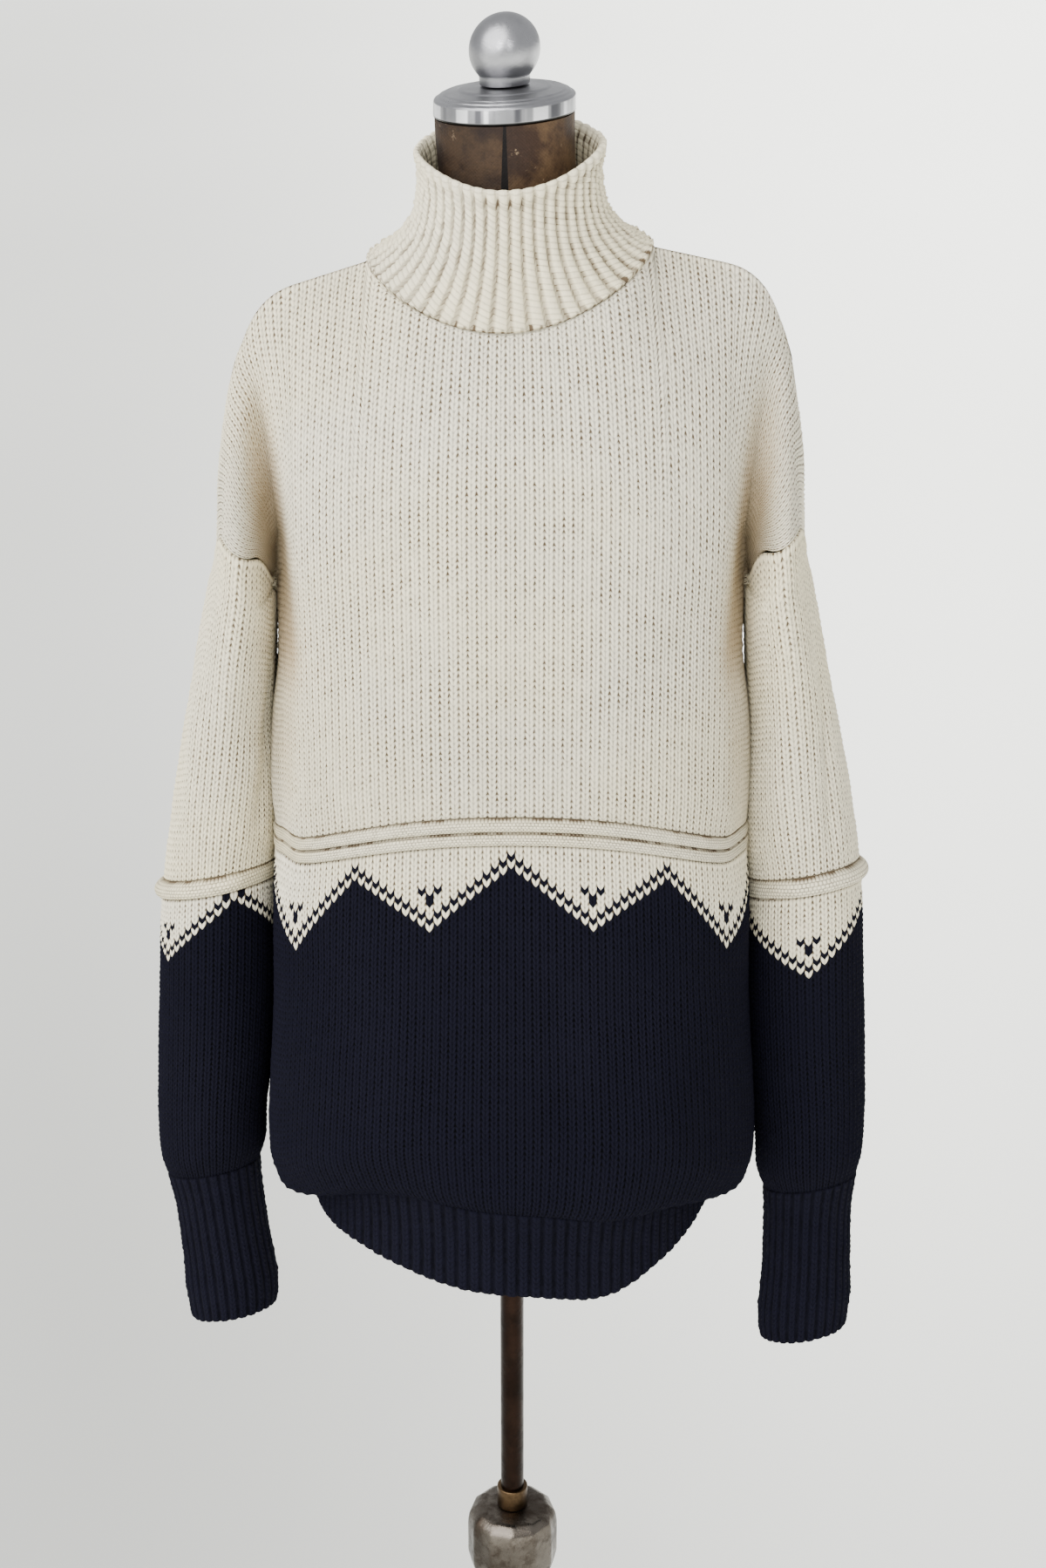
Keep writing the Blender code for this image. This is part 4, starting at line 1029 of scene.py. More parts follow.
def rounded_corners(profile, radius):
    """A profile whose inner corners are cut back by radius and rounded by quadratic arcs."""
    profile = np.array(profile, dtype=float)
    points = [profile[:1]]
    share = np.linspace(0.0, 1.0, ROUND_STEPS + 1)[:, None]
    for before, corner, after in zip(profile, profile[1:], profile[2:]):
        sides = [np.linalg.norm(end - corner) * ROUND_SHARE for end in (before, after)]
        near = min(radius, *sides)
        start = corner + unit(before - corner) * near
        end = corner + unit(after - corner) * near
        points.append(start * (1 - share) ** 2 + corner * 2 * share * (1 - share) + end * share ** 2)
    return np.concatenate(points + [profile[-1:]])


def form_piece(name, material):
    """The dress form: ovals through its levels, smooth at the neck."""
    neck = smooth_table(FORM_LEVELS[FORM_SMOOTH_FROM:], np.linspace(0.0, 1.0, NECK_SAMPLES))
    levels = np.concatenate([FORM_LEVELS[:FORM_SMOOTH_FROM], neck])
    angle = np.arange(FORM_COLUMNS) * 2.0 * math.pi / FORM_COLUMNS
    z, half_x, half_y, middle_y = (levels[:, k, None] for k in range(4))
    shift = NECK_SHIFT_X * smooth_step(z, NECK_SHIFT_FROM, FORM_LEVELS[-1, 0])
    grid = leaned(np.stack(np.broadcast_arrays(
        shift + half_x * np.cos(angle), middle_y + half_y * np.sin(angle), z,
    ), axis=-1))
    ends = [grid[0].mean(axis=0), grid[-1].mean(axis=0)]
    return capped(name, grid, ends, material, FORM_SHARP_ANGLE)


# Materials

class Value:
    """A number or colour that varies over a surface, with arithmetic on numbers."""

    def __init__(self, surface, socket):
        self.surface = surface
        self.socket = socket

    def math(self, operation, other=None, swapped=False):
        """A Math node on this value and another, or on this value alone."""
        values = [self] if other is None else [self, other]
        if swapped:
            values.reverse()
        return self.surface.node("Math", {"operation": operation}, dict(enumerate(values)))

    def __add__(self, other):
        return self.math("ADD", other)

    __radd__ = __add__

    def __mul__(self, other):
        return self.math("MULTIPLY", other)

    __rmul__ = __mul__

    def __sub__(self, other):
        return self.math("SUBTRACT", other)

    def __rsub__(self, other):
        return self.math("SUBTRACT", other, swapped=True)

    def __truediv__(self, other):
        return self.math("DIVIDE", other)

    def __rtruediv__(self, other):
        return self.math("DIVIDE", other, swapped=True)

    def __mod__(self, other):
        return self.math("FLOORED_MODULO", other)

    def __pow__(self, other):
        return self.math("POWER", other)

    def __gt__(self, other):
        return self.math("GREATER_THAN", other)

    def __lt__(self, other):
        return self.math("LESS_THAN", other)

    def __abs__(self):
        return self.math("ABSOLUTE")

    def floor(self):
        return self.math("FLOOR")

    def part(self):
        return self.math("FRACT")

    def wave(self):
        """Sine of this value."""
        return self.math("SINE")

    def least(self, other):
        return self.math("MINIMUM", other)

    def most(self, other):
        return self.math("MAXIMUM", other)

    def ease(self, low, high):
        """0 below low, 1 above high, smooth between."""
        return self.surface.node(
            "MapRange", {"interpolation_type": "SMOOTHSTEP"},
            {"Value": self, "From Min": low, "From Max": high, "To Min": 0.0, "To Max": 1.0})


class Surface:
    """The nodes of one material, round its Principled BSDF."""

    def __init__(self, name, **constants):
        self.material = bpy.data.materials.new(name)
        self.material.use_nodes = True
        self.tree = self.material.node_tree
        self.shader = self.tree.nodes["Principled BSDF"]
        for socket, value in constants.items():
            self.shader.inputs[socket.replace("_", " ")].default_value = value

    def node(self, kind, settings, inputs, output=0):
        """One node: its settings, then the values or links of its sockets; gives one output."""
        node = self.tree.nodes.new("ShaderNode" + kind)
        for key, value in settings.items():
            setattr(node, key, value)
        for key, value in inputs.items():
            if isinstance(value, Value):
                self.tree.links.new(value.socket, node.inputs[key])
            else:
                node.inputs[key].default_value = value
        return Value(self, node.outputs[output])

    def colour(self, tint):
        """One colour, as a value."""
        colour = self.node("RGB", {}, {})
        colour.socket.default_value = tint
        return colour

    def mix(self, share, first, second):
        """A colour between two colours."""
        inputs = {"Factor": share, 6: first, 7: second}
        return self.node("Mix", {"data_type": "RGBA"}, inputs, output=2)

    def shaded(self, colour, factor):
        """A colour made darker or lighter by a number."""
        inputs = {0: colour, "Scale": factor}
        return self.node("VectorMath", {"operation": "SCALE"}, inputs)

    def place(self):
        """The surface's own coordinates in metres."""
        return self.node("TexCoord", {}, {}, output="Object")

    def axes(self, vector):
        """The three numbers of a vector."""
        split = self.node("SeparateXYZ", {}, {0: vector}).socket.node
        return [Value(self, split.outputs[k]) for k in range(3)]

    def noise(self, vector, scale, detail=2.0, roughness=0.5):
        """Soft noise from 0 to 1, with so many waves to a metre."""
        inputs = {"Vector": vector, "Scale": scale, "Detail": detail, "Roughness": roughness}
        return self.node("TexNoise", {}, inputs)

    def random(self, x, y, seed):
        """A random number from 0 to 1 for each whole pair of numbers."""
        spot = self.node("CombineXYZ", {}, {0: x, 1: y, 2: seed})
        return self.node("TexWhiteNoise", {"noise_dimensions": "3D"}, {"Vector": spot})

    def feed(self, **links):
        """Link values to the shader's sockets."""
        for socket, value in links.items():
            self.tree.links.new(value.socket, self.shader.inputs[socket.replace("_", " ")])

    def bumps(self, *layers):
        """Bump layers, each a height and its depth in metres, one on the next."""
        normal = None
        for height, depth in layers:
            inputs = {"Height": height, "Distance": depth, "Strength": 1.0}
            if normal is not None:
                inputs["Normal"] = normal
            normal = self.node("Bump", {}, inputs)
        self.feed(Normal=normal)


# Wool: the colours of its strands, the painted shade in the gaps between them and in the
# creases by the arms, and the colours of its warmer patches
IVORY = (0.87, 0.808, 0.640, 1.0)
IVORY_GAP_SHADE = (0.135, 0.098, 0.062, 1.0)
IVORY_WARM = (0.925, 0.832, 0.585, 1.0)
CREASE_SHADE_TINT = (0.42, 0.29, 0.145, 1.0)
NAVY = (0.0046, 0.0046, 0.0104, 1.0)
NAVY_GAP_SHADE = (0.0002, 0.0002, 0.0005, 1.0)
NAVY_WARM = (0.0062, 0.0061, 0.0124, 1.0)
TONES = {
    "ivory": (IVORY, IVORY_GAP_SHADE, IVORY_WARM),
    "sleeve": (IVORY_WARM, IVORY_GAP_SHADE, IVORY),
    "navy": (NAVY, NAVY_GAP_SHADE, NAVY_WARM),
}
WARM_EDGES = (0.40, 0.66)
WARM_SHARE = 0.6
# Waves to a metre of the fuzz, the strands, the patches and the slow tone
FIBRE_SCALE = 1900.0
STRAND_SCALE = 620.0
PATCH_SCALE = 14.0
SLOW_SCALE = 5.5
# Depths in metres of the stitch, its strands and its fuzz
STITCH_DEPTH = 0.0011
STRAND_DEPTH = 0.0007
FIBRE_DEPTH = 0.0005
# A painted shade is full at its inner distance, gone at its outer one, and this strong. In
# stocking stitch it is painted in the corners between stitches, at their hearts and in the groove beside
# them
Shade = namedtuple("Shade", "inner outer strength")
CORNER = Shade(0.09, 0.25, 0.92)
HEART = Shade(0.05, 0.19, 0.50)
GROOVE = Shade(0.0, 0.17, 0.22)
BETWEEN_ROWS = 0.10
DOT_LENGTH = 0.62
# In ribs, painted shade lies in the valley between them, at the seam between rows, in the cleft down a
# plain rib, and at the collar at the crossing strands of the last row and as a painted shadow under the rim
VALLEY_EDGES = (0.50, 0.92)
VALLEY = 0.60
RIB_SEAM = 0.34
CLEFT = Shade(0.0, 0.22, 0.25)
TWISTED_VALLEY = 0.70
TWISTED_VALLEY_SEAM = 0.60
TWISTED_SEAM = 0.36
CROSSING = 0.8
RIM_SHADOW = Shade(0.0, 0.55, 0.35)
RIM_SHADOW_ROW = 1.6
# In purl: the painted shade low on a roll's beads and in the line between two rolls
PURL_SHADE = 0.62
BETWEEN_ROLLS = Shade(0.1, 0.9, 0.9)
# Painted shade: the torso's lower part is a little darker, between these heights
LOWER_SHADE = 0.90
LOWER_SHADE_GAIN = 0.15
LOWER_SHADE_EDGES = (1.02, 1.32)


def charted(column, row, peak_row, peak_column):
    """Where the wool is navy: 1 below the zigzag, on its outline and in its sprigs.

    c is the distance in stitches from the nearest peak, r the rows down from the
    peaks. Navy is r = c, all r >= c + 2, and a sprig over each trough.
    """
    half = CHART_PERIOD / 2
    c = abs((column - (peak_column - half)) % CHART_PERIOD - half)
    r = row - peak_row
    below = r - c
    outline = abs(below) < 0.5
    ground = below > 1.5
    stem = (c > half - 0.5) * (abs(r - 6.5) < 1.0)
    buds = (abs(c - (half - 1.0)) < 0.5) * (abs(r - 5.0) < 0.5)
    return outline.most(ground).most(stem.most(buds))


def crease_shade(surface, place):
    """Where shade is painted: 1 along the folds between body and arms, falling off as a bell to both sides.
    """
    high_x, high_z, low_x, low_z, half_width, spread = CREASE_SHADE
    x, _, z = surface.axes(place)
    share = (z - low_z) / (high_z - low_z)
    line = share.most(0.0) * (high_x - low_x) - share.least(0.0) * spread + low_x
    off = (abs(x) - line) / half_width
    bell = 1.0 / (1.0 + off * off * off * off)
    grown = share.ease(*CREASE_GROWS) * (CREASE_BELOW + (1.0 - CREASE_BELOW) * share.ease(*CREASE_FULL))
    return bell * grown * (1.0 - share.ease(*CREASE_FADES))


def dot(first, second, shade):
    """1 where two distances are 0, falling to 0 between the shade's two radii."""
    return 1.0 - ((first * first + second * second) ** 0.5).ease(shade.inner, shade.outer)


def stocking_marks(s, t):
    """Height and painted shade of a stocking stitch, s across and t down it from 0 to 1.

    Each of its two legs is a sine to the power 0.7, and the row one to the power 0.55.
    """
    leg = (s * 2.0).part()
    pillow = (leg * math.pi).wave() ** 0.7
    ridge = (t * math.pi).wave() ** 0.55
    height = pillow * (0.45 + 0.55 * ridge)
    joint = t.least(1.0 - t) * DOT_LENGTH
    side = s.least(1.0 - s)
    corner = dot(side, joint, CORNER) * CORNER.strength
    heart = dot(abs(s - 0.5), joint, HEART) * HEART.strength
    groove = (1.0 - side.ease(GROOVE.inner, GROOVE.outer)) * GROOVE.strength
    return height, corner + heart + groove + BETWEEN_ROWS * (1.0 - ridge)


def rib_marks(s, t, down, twisted):
    """Height and painted shade of one rib and row, s across and t down it from 0 to 1.

    The valley lies at both sides of the rib, and three sine waves across it are its
    strands, or one if it is twisted. The row is a sine to the power 0.6.
    """
    middle = abs(s - 0.5) * 2.0
    valley = middle.ease(*VALLEY_EDGES)
    ridge = (t * math.pi).wave() ** 0.6
    strand = (s * math.pi).wave() if twisted else ((s * 3.0 + 0.5) * math.pi).wave()
    height = (1.0 - valley) * (0.5 + 0.5 * ridge) * (0.8 + 0.2 * abs(strand))
    seam = 1.0 - ridge.ease(0.0, 0.80)
    if not twisted:
        cleft = (1.0 - middle.ease(CLEFT.inner, CLEFT.outer)) * CLEFT.strength
        return height, valley * VALLEY + (1.0 - valley) * (RIB_SEAM * seam + cleft)
    valley = valley * down.ease(-0.2, 1.4)
    last_row = down.ease(COLLAR_ROWS - 1.3, COLLAR_ROWS - 0.5)
    crossing = last_row * (s * (4.0 * math.pi)).wave().most(0.0)
    rim_shadow = 1.0 - abs(down - RIM_SHADOW_ROW).ease(RIM_SHADOW.inner, RIM_SHADOW.outer)
    dark = valley * (TWISTED_VALLEY + TWISTED_VALLEY_SEAM * seam) + (1.0 - valley) * TWISTED_SEAM * seam
    return height, dark + CROSSING * crossing + RIM_SHADOW.strength * rim_shadow


def purl_marks(across, down, row, t):
    """Height and painted shade of a purl roll: two beads to a stitch, a half one on each other row."""
    odd = (row % 2.0) * 0.5
    bead = ((across * 2.0 + odd).part() * math.pi).wave() ** 0.6
    height = bead * (t * math.pi).wave() ** 0.6
    between = abs((down / WELT_DEPTH + 0.5).part() - 0.5) * WELT_DEPTH
    line = 1.0 - between.ease(BETWEEN_ROLLS.inner, BETWEEN_ROLLS.outer)
    return height, PURL_SHADE - PURL_SHADE * height.ease(0.0, 0.8) + BETWEEN_ROLLS.strength * line


def wool(name, kind, tone, chart=None):
    """Knitted wool drawn from the stitch map: strands, painted shade in the gaps between them, and fuzz.

    kind is stocking, rib, twisted or purl; tone is ivory, sleeve or navy; chart is
    the row and column of a peak of the zigzag.
    """
    surface = Surface(name, Roughness=0.95, Specular_IOR_Level=0.06)
    stitch_map = surface.node("UVMap", {"uv_map": "stitches"}, {})
    across, down, _ = surface.axes(stitch_map)
    place = surface.place()
    column, s = across.floor(), across.part()
    row, t = down.floor(), down.part()
    if kind == "stocking":
        height, dark = stocking_marks(s, t)
    elif kind == "purl":
        height, dark = purl_marks(across, down, row, t)
    else:
        height, dark = rib_marks(s, t, down, kind == "twisted")
    chance = surface.random(column, row, 3.0)
    hole = surface.random(column, row, 7.0).ease(0.35, 1.0)
    patchy = surface.noise(place, PATCH_SCALE, detail=3.0)
    # The painted shade of the gaps is stronger in some stitches and patches than in others
    dark = dark * (0.60 + 0.50 * hole + 0.60 * (patchy - 0.5))
    fibre = surface.noise(place, FIBRE_SCALE, detail=3.0, roughness=0.7)
    strands = surface.noise(place, STRAND_SCALE, detail=2.0, roughness=0.6)
    # Raised strands are painted a little lighter; strands, fuzz and a tone for each stitch vary at random
    light = 0.86 + 0.10 * height + 0.09 * chance + 0.16 * (strands - 0.5) + 0.14 * (fibre - 0.5)
    warmth = surface.noise(place, SLOW_SCALE, detail=2.0).ease(*WARM_EDGES) * WARM_SHARE
    if chart is None:
        main, gap_shade, warm = TONES[tone]
        colour = surface.mix(warmth, main, warm)
        shade = surface.colour(gap_shade)
    else:
        navy = charted(column, row, *chart)
        ivory_part = surface.mix(warmth, IVORY, IVORY_WARM)
        navy_part = surface.mix(warmth, NAVY, NAVY_WARM)
        colour = surface.mix(navy, ivory_part, navy_part)
        shade = surface.mix(navy, IVORY_GAP_SHADE, NAVY_GAP_SHADE)
    # Painted shade in the gaps between the strands
    colour = surface.mix(dark.least(1.0).most(0.0), colour, shade)
    if kind == "stocking" and tone == "ivory":
        # Painted shade in the creases between the body and the arms
        colour = surface.mix(crease_shade(surface, place) * CREASE_STRENGTH, colour, CREASE_SHADE_TINT)
        # Painted shade: the torso is a little darker towards its lower part
        light = light * (LOWER_SHADE + LOWER_SHADE_GAIN * surface.axes(place)[2].ease(*LOWER_SHADE_EDGES))
    surface.feed(Base_Color=surface.shaded(colour, light))
    surface.bumps((height, STITCH_DEPTH), (strands, STRAND_DEPTH), (fibre, FIBRE_DEPTH))
    return surface.material


# Linen of the form: its two browns, grime and scuffs, the painted shade in the slit down the front of
# its neck, and the tones that darken its left and lighten its right
LINEN_DARK = (0.026, 0.014, 0.009, 1.0)
LINEN_BROWN = (0.075, 0.047, 0.026, 1.0)
LINEN_GRIME = (0.10, 0.088, 0.074, 1.0)
LINEN_SCUFF = (0.26, 0.20, 0.135, 1.0)
LINEN_LEFT = (0.40, 0.36, 0.34, 1.0)
LINEN_RIGHT = (1.15, 1.08, 0.98, 1.0)
LINEN_TONE_EDGES = (-0.030, 0.034)
WEAVE_SCALE = 2600.0
SLIT_SHADE_TINT = (0.004, 0.003, 0.003, 1.0)
SLIT_HALF_WIDTH = 0.0010
SLIT_SPREAD = 0.035
SLIT_FOOT_Z = 1.40


def worn_linen():
    """Brown linen over the stiff form: weave, brown patches, pale scuffs, painted shade in its open slit."""
    surface = Surface("worn_linen_scuffed", Specular_IOR_Level=0.20)
    place = surface.place()
    x, y, z = surface.axes(place)
    patches = surface.noise(place, 34.0, detail=6.0, roughness=0.65)
    grime = surface.noise(place, 11.0, detail=4.0)
    speck = surface.noise(place, 420.0, detail=3.0, roughness=0.7)
    weave = ((x * WEAVE_SCALE).wave() * (z * WEAVE_SCALE).wave()) * 0.5 + 0.5
    brown = surface.mix(patches.ease(0.38, 0.62), LINEN_DARK, LINEN_BROWN)
    brown = surface.mix(grime.ease(0.55, 0.72) * 0.6, brown, LINEN_GRIME)
    scuffs = surface.noise(place, 62.0, detail=5.0, roughness=0.7).ease(0.60, 0.65)
    scuffs = scuffs * speck.ease(0.35, 0.6)
    brown = surface.mix(scuffs * 0.8, brown, LINEN_SCUFF)
    opening = SLIT_HALF_WIDTH + (FORM_LEVELS[-1, 0] - z) * SLIT_SPREAD
    at_slit = (abs(x - NECK_SHIFT_X) < opening) * (y < 0.0) * (z > SLIT_FOOT_Z)
    half_tone = surface.mix(x.ease(*LINEN_TONE_EDGES), LINEN_LEFT, LINEN_RIGHT)
    brown = surface.node("VectorMath", {"operation": "MULTIPLY"}, {0: brown, 1: half_tone})
    # The open slit is painted dark as its shade
    colour = surface.mix(at_slit, brown, SLIT_SHADE_TINT)
    surface.feed(Base_Color=surface.shaded(colour, 0.50 + 1.0 * speck),
                 Roughness=0.52 + 0.3 * patches + 0.2 * at_slit)
    surface.bumps((patches, 0.0016), (speck * 0.7 + weave * 0.3, 0.0004), (1.0 - at_slit, 0.0012))
    return surface.material


# Metals: bright colour, dull colour, roughness, share of patina and its colour
Metal = namedtuple("Metal", "tint dull roughness patina patina_tint")
ALUMINIUM = Metal((0.34, 0.34, 0.355, 1.0), (0.25, 0.25, 0.262, 1.0), 0.30, 0.0, (0.1, 0.06, 0.03, 1.0))
BRONZE = Metal((0.022, 0.0125, 0.0090, 1.0), (0.010, 0.0062, 0.0048, 1.0), 0.30, 0.5,
               (0.007, 0.005, 0.004, 1.0))
BRASS = Metal((0.11, 0.07, 0.036, 1.0), (0.05, 0.031, 0.017, 1.0), 0.30, 0.5, (0.03, 0.018, 0.010, 1.0))
NICKEL = Metal((0.135, 0.118, 0.100, 1.0), (0.055, 0.045, 0.036, 1.0), 0.26, 0.7,
               (0.030, 0.020, 0.013, 1.0))
RING_SCALE = 9000.0
RING_DEPTH = 0.00001
# Band round the cap: the heights of its soft foot and top, painted bright and dark reflections
# streaked across it, and the painted shadow line beneath it
BAND_FOOT = (1.5250, 1.5258)
BAND_TOP = (1.5335, 1.5345)
SHADOW_LINE = (1.5250, 1.5254)
STREAK_SCALE = 75.0
DARK_REFLECTION_TINT = (0.10, 0.10, 0.11, 1.0)
BRIGHT_REFLECTION_TINT = (0.80, 0.80, 0.82, 1.0)
SHADOW_LINE_TINT = (0.03, 0.03, 0.03, 1.0)
IRON_BLACK = (0.022, 0.022, 0.024, 1.0)
IRON_WORN = (0.040, 0.038, 0.036, 1.0)


def cap_band(surface, place, colour):
    """A colour with the cap's polished band: painted reflections streaked across it and a painted shadow
    line beneath.
    """
    x, _, z = surface.axes(place)
    level = z - x * LEAN
    band = level.ease(*BAND_FOOT) * (1.0 - level.ease(*BAND_TOP))
    streaks = surface.noise(surface.node("CombineXYZ", {}, {0: x}), STREAK_SCALE, detail=1.0)
    # Painted dark and bright reflections on the band, then a painted shadow line beneath it
    colour = surface.mix(band * (1.0 - streaks.ease(0.40, 0.48)), colour, DARK_REFLECTION_TINT)
    colour = surface.mix(band * streaks.ease(0.50, 0.56), colour, BRIGHT_REFLECTION_TINT)
    return surface.mix(1.0 - level.ease(*SHADOW_LINE), colour, SHADOW_LINE_TINT)


def turned_metal(name, metal, rings=False):
    """Metal with slow cloudy wear, patches of patina, and turning rings on cap and ball."""
    surface = Surface(name, Metallic=1.0)
    place = surface.place()
    cloud = surface.noise(place, 26.0, detail=4.0, roughness=0.6)
    fine = surface.noise(place, 700.0, detail=2.0)
    colour = surface.mix(cloud.ease(0.35, 0.7), metal.tint, metal.dull)
    patches = surface.noise(place, 60.0, detail=6.0, roughness=0.72)
    worn = patches.ease(0.56 - 0.2 * metal.patina, 0.64)
    colour = surface.mix(worn * metal.patina, colour, metal.patina_tint)
    rough = metal.roughness + 0.12 * (cloud - 0.5) + 0.10 * (fine - 0.5) + 0.25 * worn * metal.patina
    layers = [(fine, 0.00003), (worn, 0.0002 * metal.patina + 0.00001)]
    if rings:
        # Painted reflections and shadow line of the cap's band
        colour = cap_band(surface, place, colour)
        x, y, z = surface.axes(place)
        across = (x * x + y * y) ** 0.5
        layers.append(((across * RING_SCALE).wave() + (z * RING_SCALE).wave(), RING_DEPTH))
    surface.feed(Base_Color=colour, Roughness=rough)
    surface.bumps(*layers)
    return surface.material


def painted_iron():
    """Black satin paint with an orange-peel bump and slightly worn tone."""
    surface = Surface("painted_iron_satin", Metallic=0.2, Specular_IOR_Level=0.5)
    place = surface.place()
    cloud = surface.noise(place, 18.0, detail=4.0)
    peel = surface.noise(place, 320.0, detail=2.0)
    colour = surface.mix(cloud.ease(0.4, 0.7), IRON_BLACK, IRON_WORN)
    surface.feed(Base_Color=colour, Roughness=0.42 + 0.2 * cloud)
    surface.bumps((peel, 0.00012))
    return surface.material


# Putting the pieces in place

def settle(piece, slot, *nodes):
    """A finished piece rides on the one body and replaces its nodes. Its slot is not used."""
    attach(piece, "root")
    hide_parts(*nodes)


def make_camera():
    """The camera that sees the form as the photograph does."""
    lens = bpy.data.cameras.new("camera")
    lens.sensor_fit = "VERTICAL"
    lens.sensor_height = SENSOR_HEIGHT
    lens.lens = SENSOR_HEIGHT * FOCAL_PIXELS / PICTURE_HEIGHT
    lens.clip_end = CAMERA_REACH
    camera = bpy.data.objects.new("camera", lens)
    camera.location = (0.0, -CAMERA_DISTANCE, CAMERA_HEIGHT)
    turn = -math.atan(AXIS_OFFSET_PIXELS / FOCAL_PIXELS)
    camera.rotation_euler = (math.radians(90.0 - CAMERA_PITCH), 0.0, turn)
    bpy.context.scene.collection.objects.link(camera)
    bpy.context.scene.camera = camera


def hang_light(light, place, aim):
    """A lamp for a light, at a place and turned to a point."""
    lamp = bpy.data.objects.new(light.name, light)
    lamp.location = place
    lamp.rotation_euler = (Vector(aim) - Vector(place)).to_track_quat("-Z", "Y").to_euler()
    bpy.context.scene.collection.objects.link(lamp)


def pale_floor():
    """The floor's pale paint, which glows more the further back and to the right it lies."""
    surface = Surface("pale_floor", Roughness=0.9, Specular_IOR_Level=0.1, Emission_Strength=1.0)
    tone = surface.noise(surface.place(), 0.35, detail=1.0)
    x, y, _ = surface.axes(surface.place())
    depth = (y + (FLOOR_MIDDLE_Y + CAMERA_DISTANCE)).most(1.0)
    far = 1.19 - 2.7 / depth
    right = (x / depth).ease(-0.20, 0.20)
    glow = 1.25 * far * far + right * (1.60 + 2.40 * far).most(0.0)
    surface.feed(Base_Color=surface.mix(tone.ease(0.3, 0.7), *FLOOR_TINTS),
                 Emission_Color=surface.shaded(surface.colour(FLOOR_GLOW_TINT), glow))
    return surface.material


def make_studio():
    """Pale floor, even light from all round, a soft sun and two soft lamps in front."""
    world = bpy.data.worlds.new("studio")
    world.use_nodes = True
    background = world.node_tree.nodes["Background"].inputs
    background["Color"].default_value = WORLD_TINT
    background["Strength"].default_value = WORLD_STRENGTH
    bpy.context.scene.world = world
    bpy.ops.mesh.primitive_circle_add(
        vertices=FLOOR_SIDES, radius=FLOOR_RADIUS, fill_type="NGON", location=(0.0, FLOOR_MIDDLE_Y, FLOOR_Z))
    floor = bpy.context.object
    floor.name = "studio_floor"
    floor.data.materials.append(pale_floor())
    sun = bpy.data.lights.new("soft_sun", "SUN")
    sun.energy = SUN_POWER
    sun.angle = math.radians(SUN_SPREAD)
    sun.color = SUN_TINT
    hang_light(sun, SUN_PLACE, (0.0, 0.0, 0.0))
    for name, (place, power) in LAMPS.items():
        lamp = bpy.data.lights.new(name, "AREA")
        lamp.size = LAMP_SIZE
        lamp.energy = power
        hang_light(lamp, place, LAMP_AIM)


def make_sweater(materials):
    """All knitted pieces."""
    half_upper = (TORSO_STITCHES + ARM_STITCHES) * LINES
    half_lower = LOWER_STITCHES * LINES
    feet = {}
    for word, face in (("front", -1), ("back", 1)):
        upper = upper_base(face)
        base = rippled(leaned(upper), False, 11 + face)
        piece = knit_wall(f"{word}_panel_knit", base, STOCKING, PANEL_WALL, materials["ivory"],
                          offset=LINES // 2 - half_upper, seed=21 + face)
        settle(piece, "ivory_wool", f"{word}_panel")
        lower = lower_base(face)
        base = rippled(leaned(lower), False, 31 + face)
        piece = knit_wall(f"{word}_lower_knit", base, STOCKING, PANEL_WALL, materials["chart_body"],
                          offset=LINES // 2 - half_lower, seed=41 + face)
        settle(piece, "navy_wool", f"{word}_lower")
        feet[word] = (upper[-1], lower[0], lower[-1])
    welt_lines = WELT_STITCHES * WELT_LINES
    top = closed_ring(feet["front"][0], feet["back"][0], welt_lines)
    foot = closed_ring(feet["front"][1], feet["back"][1], welt_lines)
    hug = 1.0 - SIDE_HUG * smooth_step(np.abs(top[:, 0]), BODY_HUG_FROM, BODY_HUG_FULL)
    piece = rolled_welt("body_welt_knit", top, foot, WELT_ROLL, 2, hug, WELT_STITCHES,
                        materials["ivory_purl"])
    settle(piece, "ivory_wool", "body_welt")
    base = leaned(hem_base(feet["front"][2], feet["back"][2]))
    piece = knit_wall("hem_rib_knit", base, RIB, RIB_WALL, materials["navy_rib"], wrap=True, seed=51,
                      curl=("foot",))
    settle(piece, "navy_wool", "hem_rib")
    piece = knit_wall("collar_knit", leaned(collar_base()), TWISTED, RIB_WALL, materials["ivory_rib"],
                      wrap=True, seed=52, curl=("top",))
    settle(piece, "ivory_wool", "collar")
    for side in ("left", "right"):
        make_sleeve(side, materials)


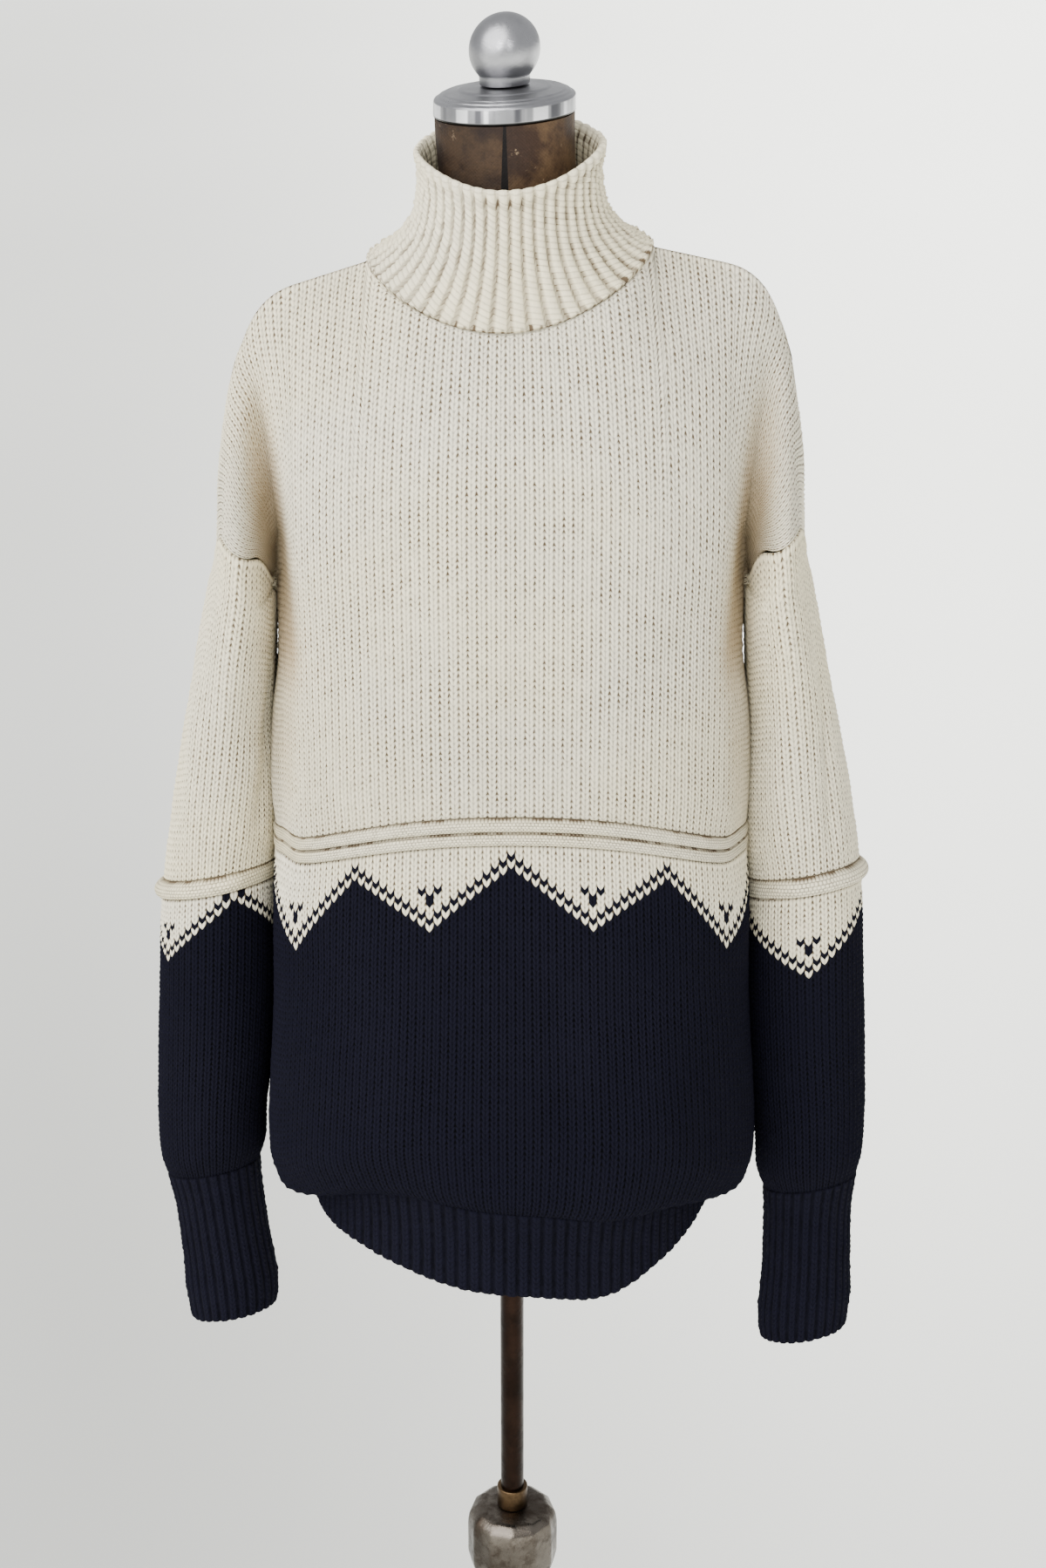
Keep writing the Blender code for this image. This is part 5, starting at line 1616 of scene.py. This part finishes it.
def make_sleeve(side, materials):
    """Ivory upper sleeve, rolled welt, charted lower sleeve and ribbed cuff of one side."""
    upper = sleeve_base(side, 0, SLEEVE_WELT_TOP, SLEEVE_STITCHES, SLEEVE_ROWS)
    piece = knit_wall(f"sleeve_{side}_knit", rippled(leaned(upper), True, 61), STOCKING, PANEL_WALL,
                      materials["ivory_sleeve"], wrap=True, seed=62)
    settle(piece, "ivory_wool", f"sleeve_{side}")
    lower = sleeve_base(side, SLEEVE_WELT_FOOT, CUFF_TOP, LOWER_SLEEVE_STITCHES, LOWER_SLEEVE_ROWS)
    piece = knit_wall(f"sleeve_{side}_lower_knit", rippled(leaned(lower), True, 63), STOCKING, PANEL_WALL,
                      materials[f"chart_{side}"], wrap=True, seed=64)
    settle(piece, "navy_wool", f"sleeve_{side}_lower")
    top = sleeve_base(side, 0, SLEEVE_WELT_TOP, SLEEVE_STITCHES, WELT_END_ROWS, lines=WELT_LINES)[-1]
    foot = sleeve_base(side, SLEEVE_WELT_FOOT, CUFF_TOP, SLEEVE_STITCHES, WELT_END_ROWS, lines=WELT_LINES)[0]
    inside = -ring_outward(top)[:, 0] * np.sign(top[:, 0])
    hug = 1.0 - SIDE_HUG * smooth_step(inside, SLEEVE_HUG_FROM, SLEEVE_HUG_FULL)
    piece = rolled_welt(f"sleeve_{side}_welt_knit", top, foot, SLEEVE_WELT_ROLL, 1, hug, SLEEVE_STITCHES,
                        materials["ivory_purl"])
    settle(piece, "ivory_wool", f"sleeve_{side}_welt")
    cuff = sleeve_base(side, CUFF_TOP, len(SLEEVE_LEVELS) - 1, CUFF_RIBS, CUFF_ROWS,
                       lines=len(RIB.across))
    piece = knit_wall(f"cuff_{side}_knit", leaned(cuff), RIB, RIB_WALL, materials["navy_rib"], wrap=True,
                      seed=65, curl=("foot",))
    settle(piece, "navy_wool", f"cuff_{side}")


def ball_profile():
    """The ball's short foot and, over it, its sphere, cut where it meets the foot."""
    angle = np.linspace(math.acos(BALL_CUT), math.pi * BALL_TOP_SHARE, BALL_SAMPLES)
    centre = BALL_FOOT_Z + BALL_FOOT_HEIGHT + BALL_CUT * BALL_RADIUS
    sphere = np.stack([BALL_RADIUS * np.sin(angle), centre - BALL_RADIUS * np.cos(angle)], axis=-1)
    foot = [
        (BALL_FOOT_RADIUS, BALL_FOOT_Z), (BALL_FOOT_RADIUS + 0.0003, BALL_FOOT_Z + 0.0006),
        (sphere[0, 0] - 0.0004, sphere[0, 1] - 0.0007), (sphere[0, 0] + 0.0001, sphere[0, 1] - 0.0002),
    ]
    return np.concatenate([foot, sphere])


def make_form():
    """The dress form, with its cap and ball."""
    settle(form_piece("form_linen", worn_linen()), "worn_linen", "form_torso")
    aluminium = turned_metal("satin_aluminium_turned", ALUMINIUM, rings=True)
    profile = rounded_corners(CAP_PROFILE, CAP_CORNER)
    cap = turned("cap_turned", profile, WIDE_COLUMNS, aluminium, tilted=True)
    settle(cap, "satin_aluminium", "neck_cap")
    ball = turned("ball_turned", ball_profile(), BALL_COLUMNS, aluminium, tilted=True)
    settle(ball, "satin_aluminium", "cap_finial")


def make_stand():
    """Pole, ferrule, hub, column and base."""
    ferrule_foot = HUB_TOP_Z + GAP
    ferrule_top = ferrule_foot + FERRULE_HEIGHT
    profile = [(POLE_RADIUS, ferrule_foot), (POLE_RADIUS, POLE_TOP_Z)]
    pole = turned("pole_tube", profile, TUBE_COLUMNS, turned_metal("bronzed_steel_worn", BRONZE))
    settle(pole, "bronzed_steel", "pole")
    profile = rounded_corners([
        (POLE_RADIUS + GAP, ferrule_foot), (FERRULE_RADIUS, ferrule_foot),
        (FERRULE_RADIUS, ferrule_top), (POLE_RADIUS + GAP, ferrule_top),
    ], FERRULE_CORNER)
    ferrule = turned("ferrule_turned", profile, TUBE_COLUMNS, turned_metal("old_brass_worn", BRASS))
    settle(ferrule, "old_brass", "pole_ferrule")
    profile = rounded_corners(HUB_PROFILE, HUB_CORNER)
    hub = turned("hub_faceted", profile, HUB_FACETS * COLUMNS_A_FACET, turned_metal("nickel_patina", NICKEL),
                 facets=HUB_FACETS)
    settle(hub, "nickel", "hub")
    iron = painted_iron()
    profile = [(COLUMN_RADIUS, BASE_HEIGHT + GAP), (COLUMN_RADIUS, HUB_FOOT_Z - GAP)]
    settle(turned("column_tube", profile, TUBE_COLUMNS, iron), "painted_iron", "column")
    profile = rounded_corners([
        (BASE_RADIUS - BASE_FOOT_INSET, 0.0), (BASE_RADIUS, 0.0), (BASE_RADIUS, BASE_HEIGHT),
        (BASE_RADIUS - BASE_TOP_INSET, BASE_HEIGHT),
    ], BASE_CORNER)
    settle(turned("base_plate", profile, WIDE_COLUMNS, iron), "painted_iron", "base")


def main():
    """Camera, studio, the sweater in its wools, and the form on its stand."""
    make_camera()
    make_studio()
    make_sweater({
        "ivory": wool("ivory_stocking_stitch", "stocking", "ivory"),
        "ivory_sleeve": wool("ivory_sleeve_stitch", "stocking", "sleeve"),
        "ivory_purl": wool("ivory_purl_roll", "purl", "sleeve"),
        "ivory_rib": wool("ivory_twisted_rib", "twisted", "sleeve"),
        "navy_rib": wool("navy_rib", "rib", "navy"),
        "chart_body": wool("zigzag_body", "stocking", "navy", chart=(BODY_PEAK_ROW, 0.0)),
        "chart_left": wool("zigzag_left", "stocking", "navy",
                           chart=(SLEEVE_PEAK_ROW["left"], SLEEVE_PEAK["left"])),
        "chart_right": wool("zigzag_right", "stocking", "navy",
                            chart=(SLEEVE_PEAK_ROW["right"], SLEEVE_PEAK["right"])),
    })
    make_form()
    make_stand()


main()
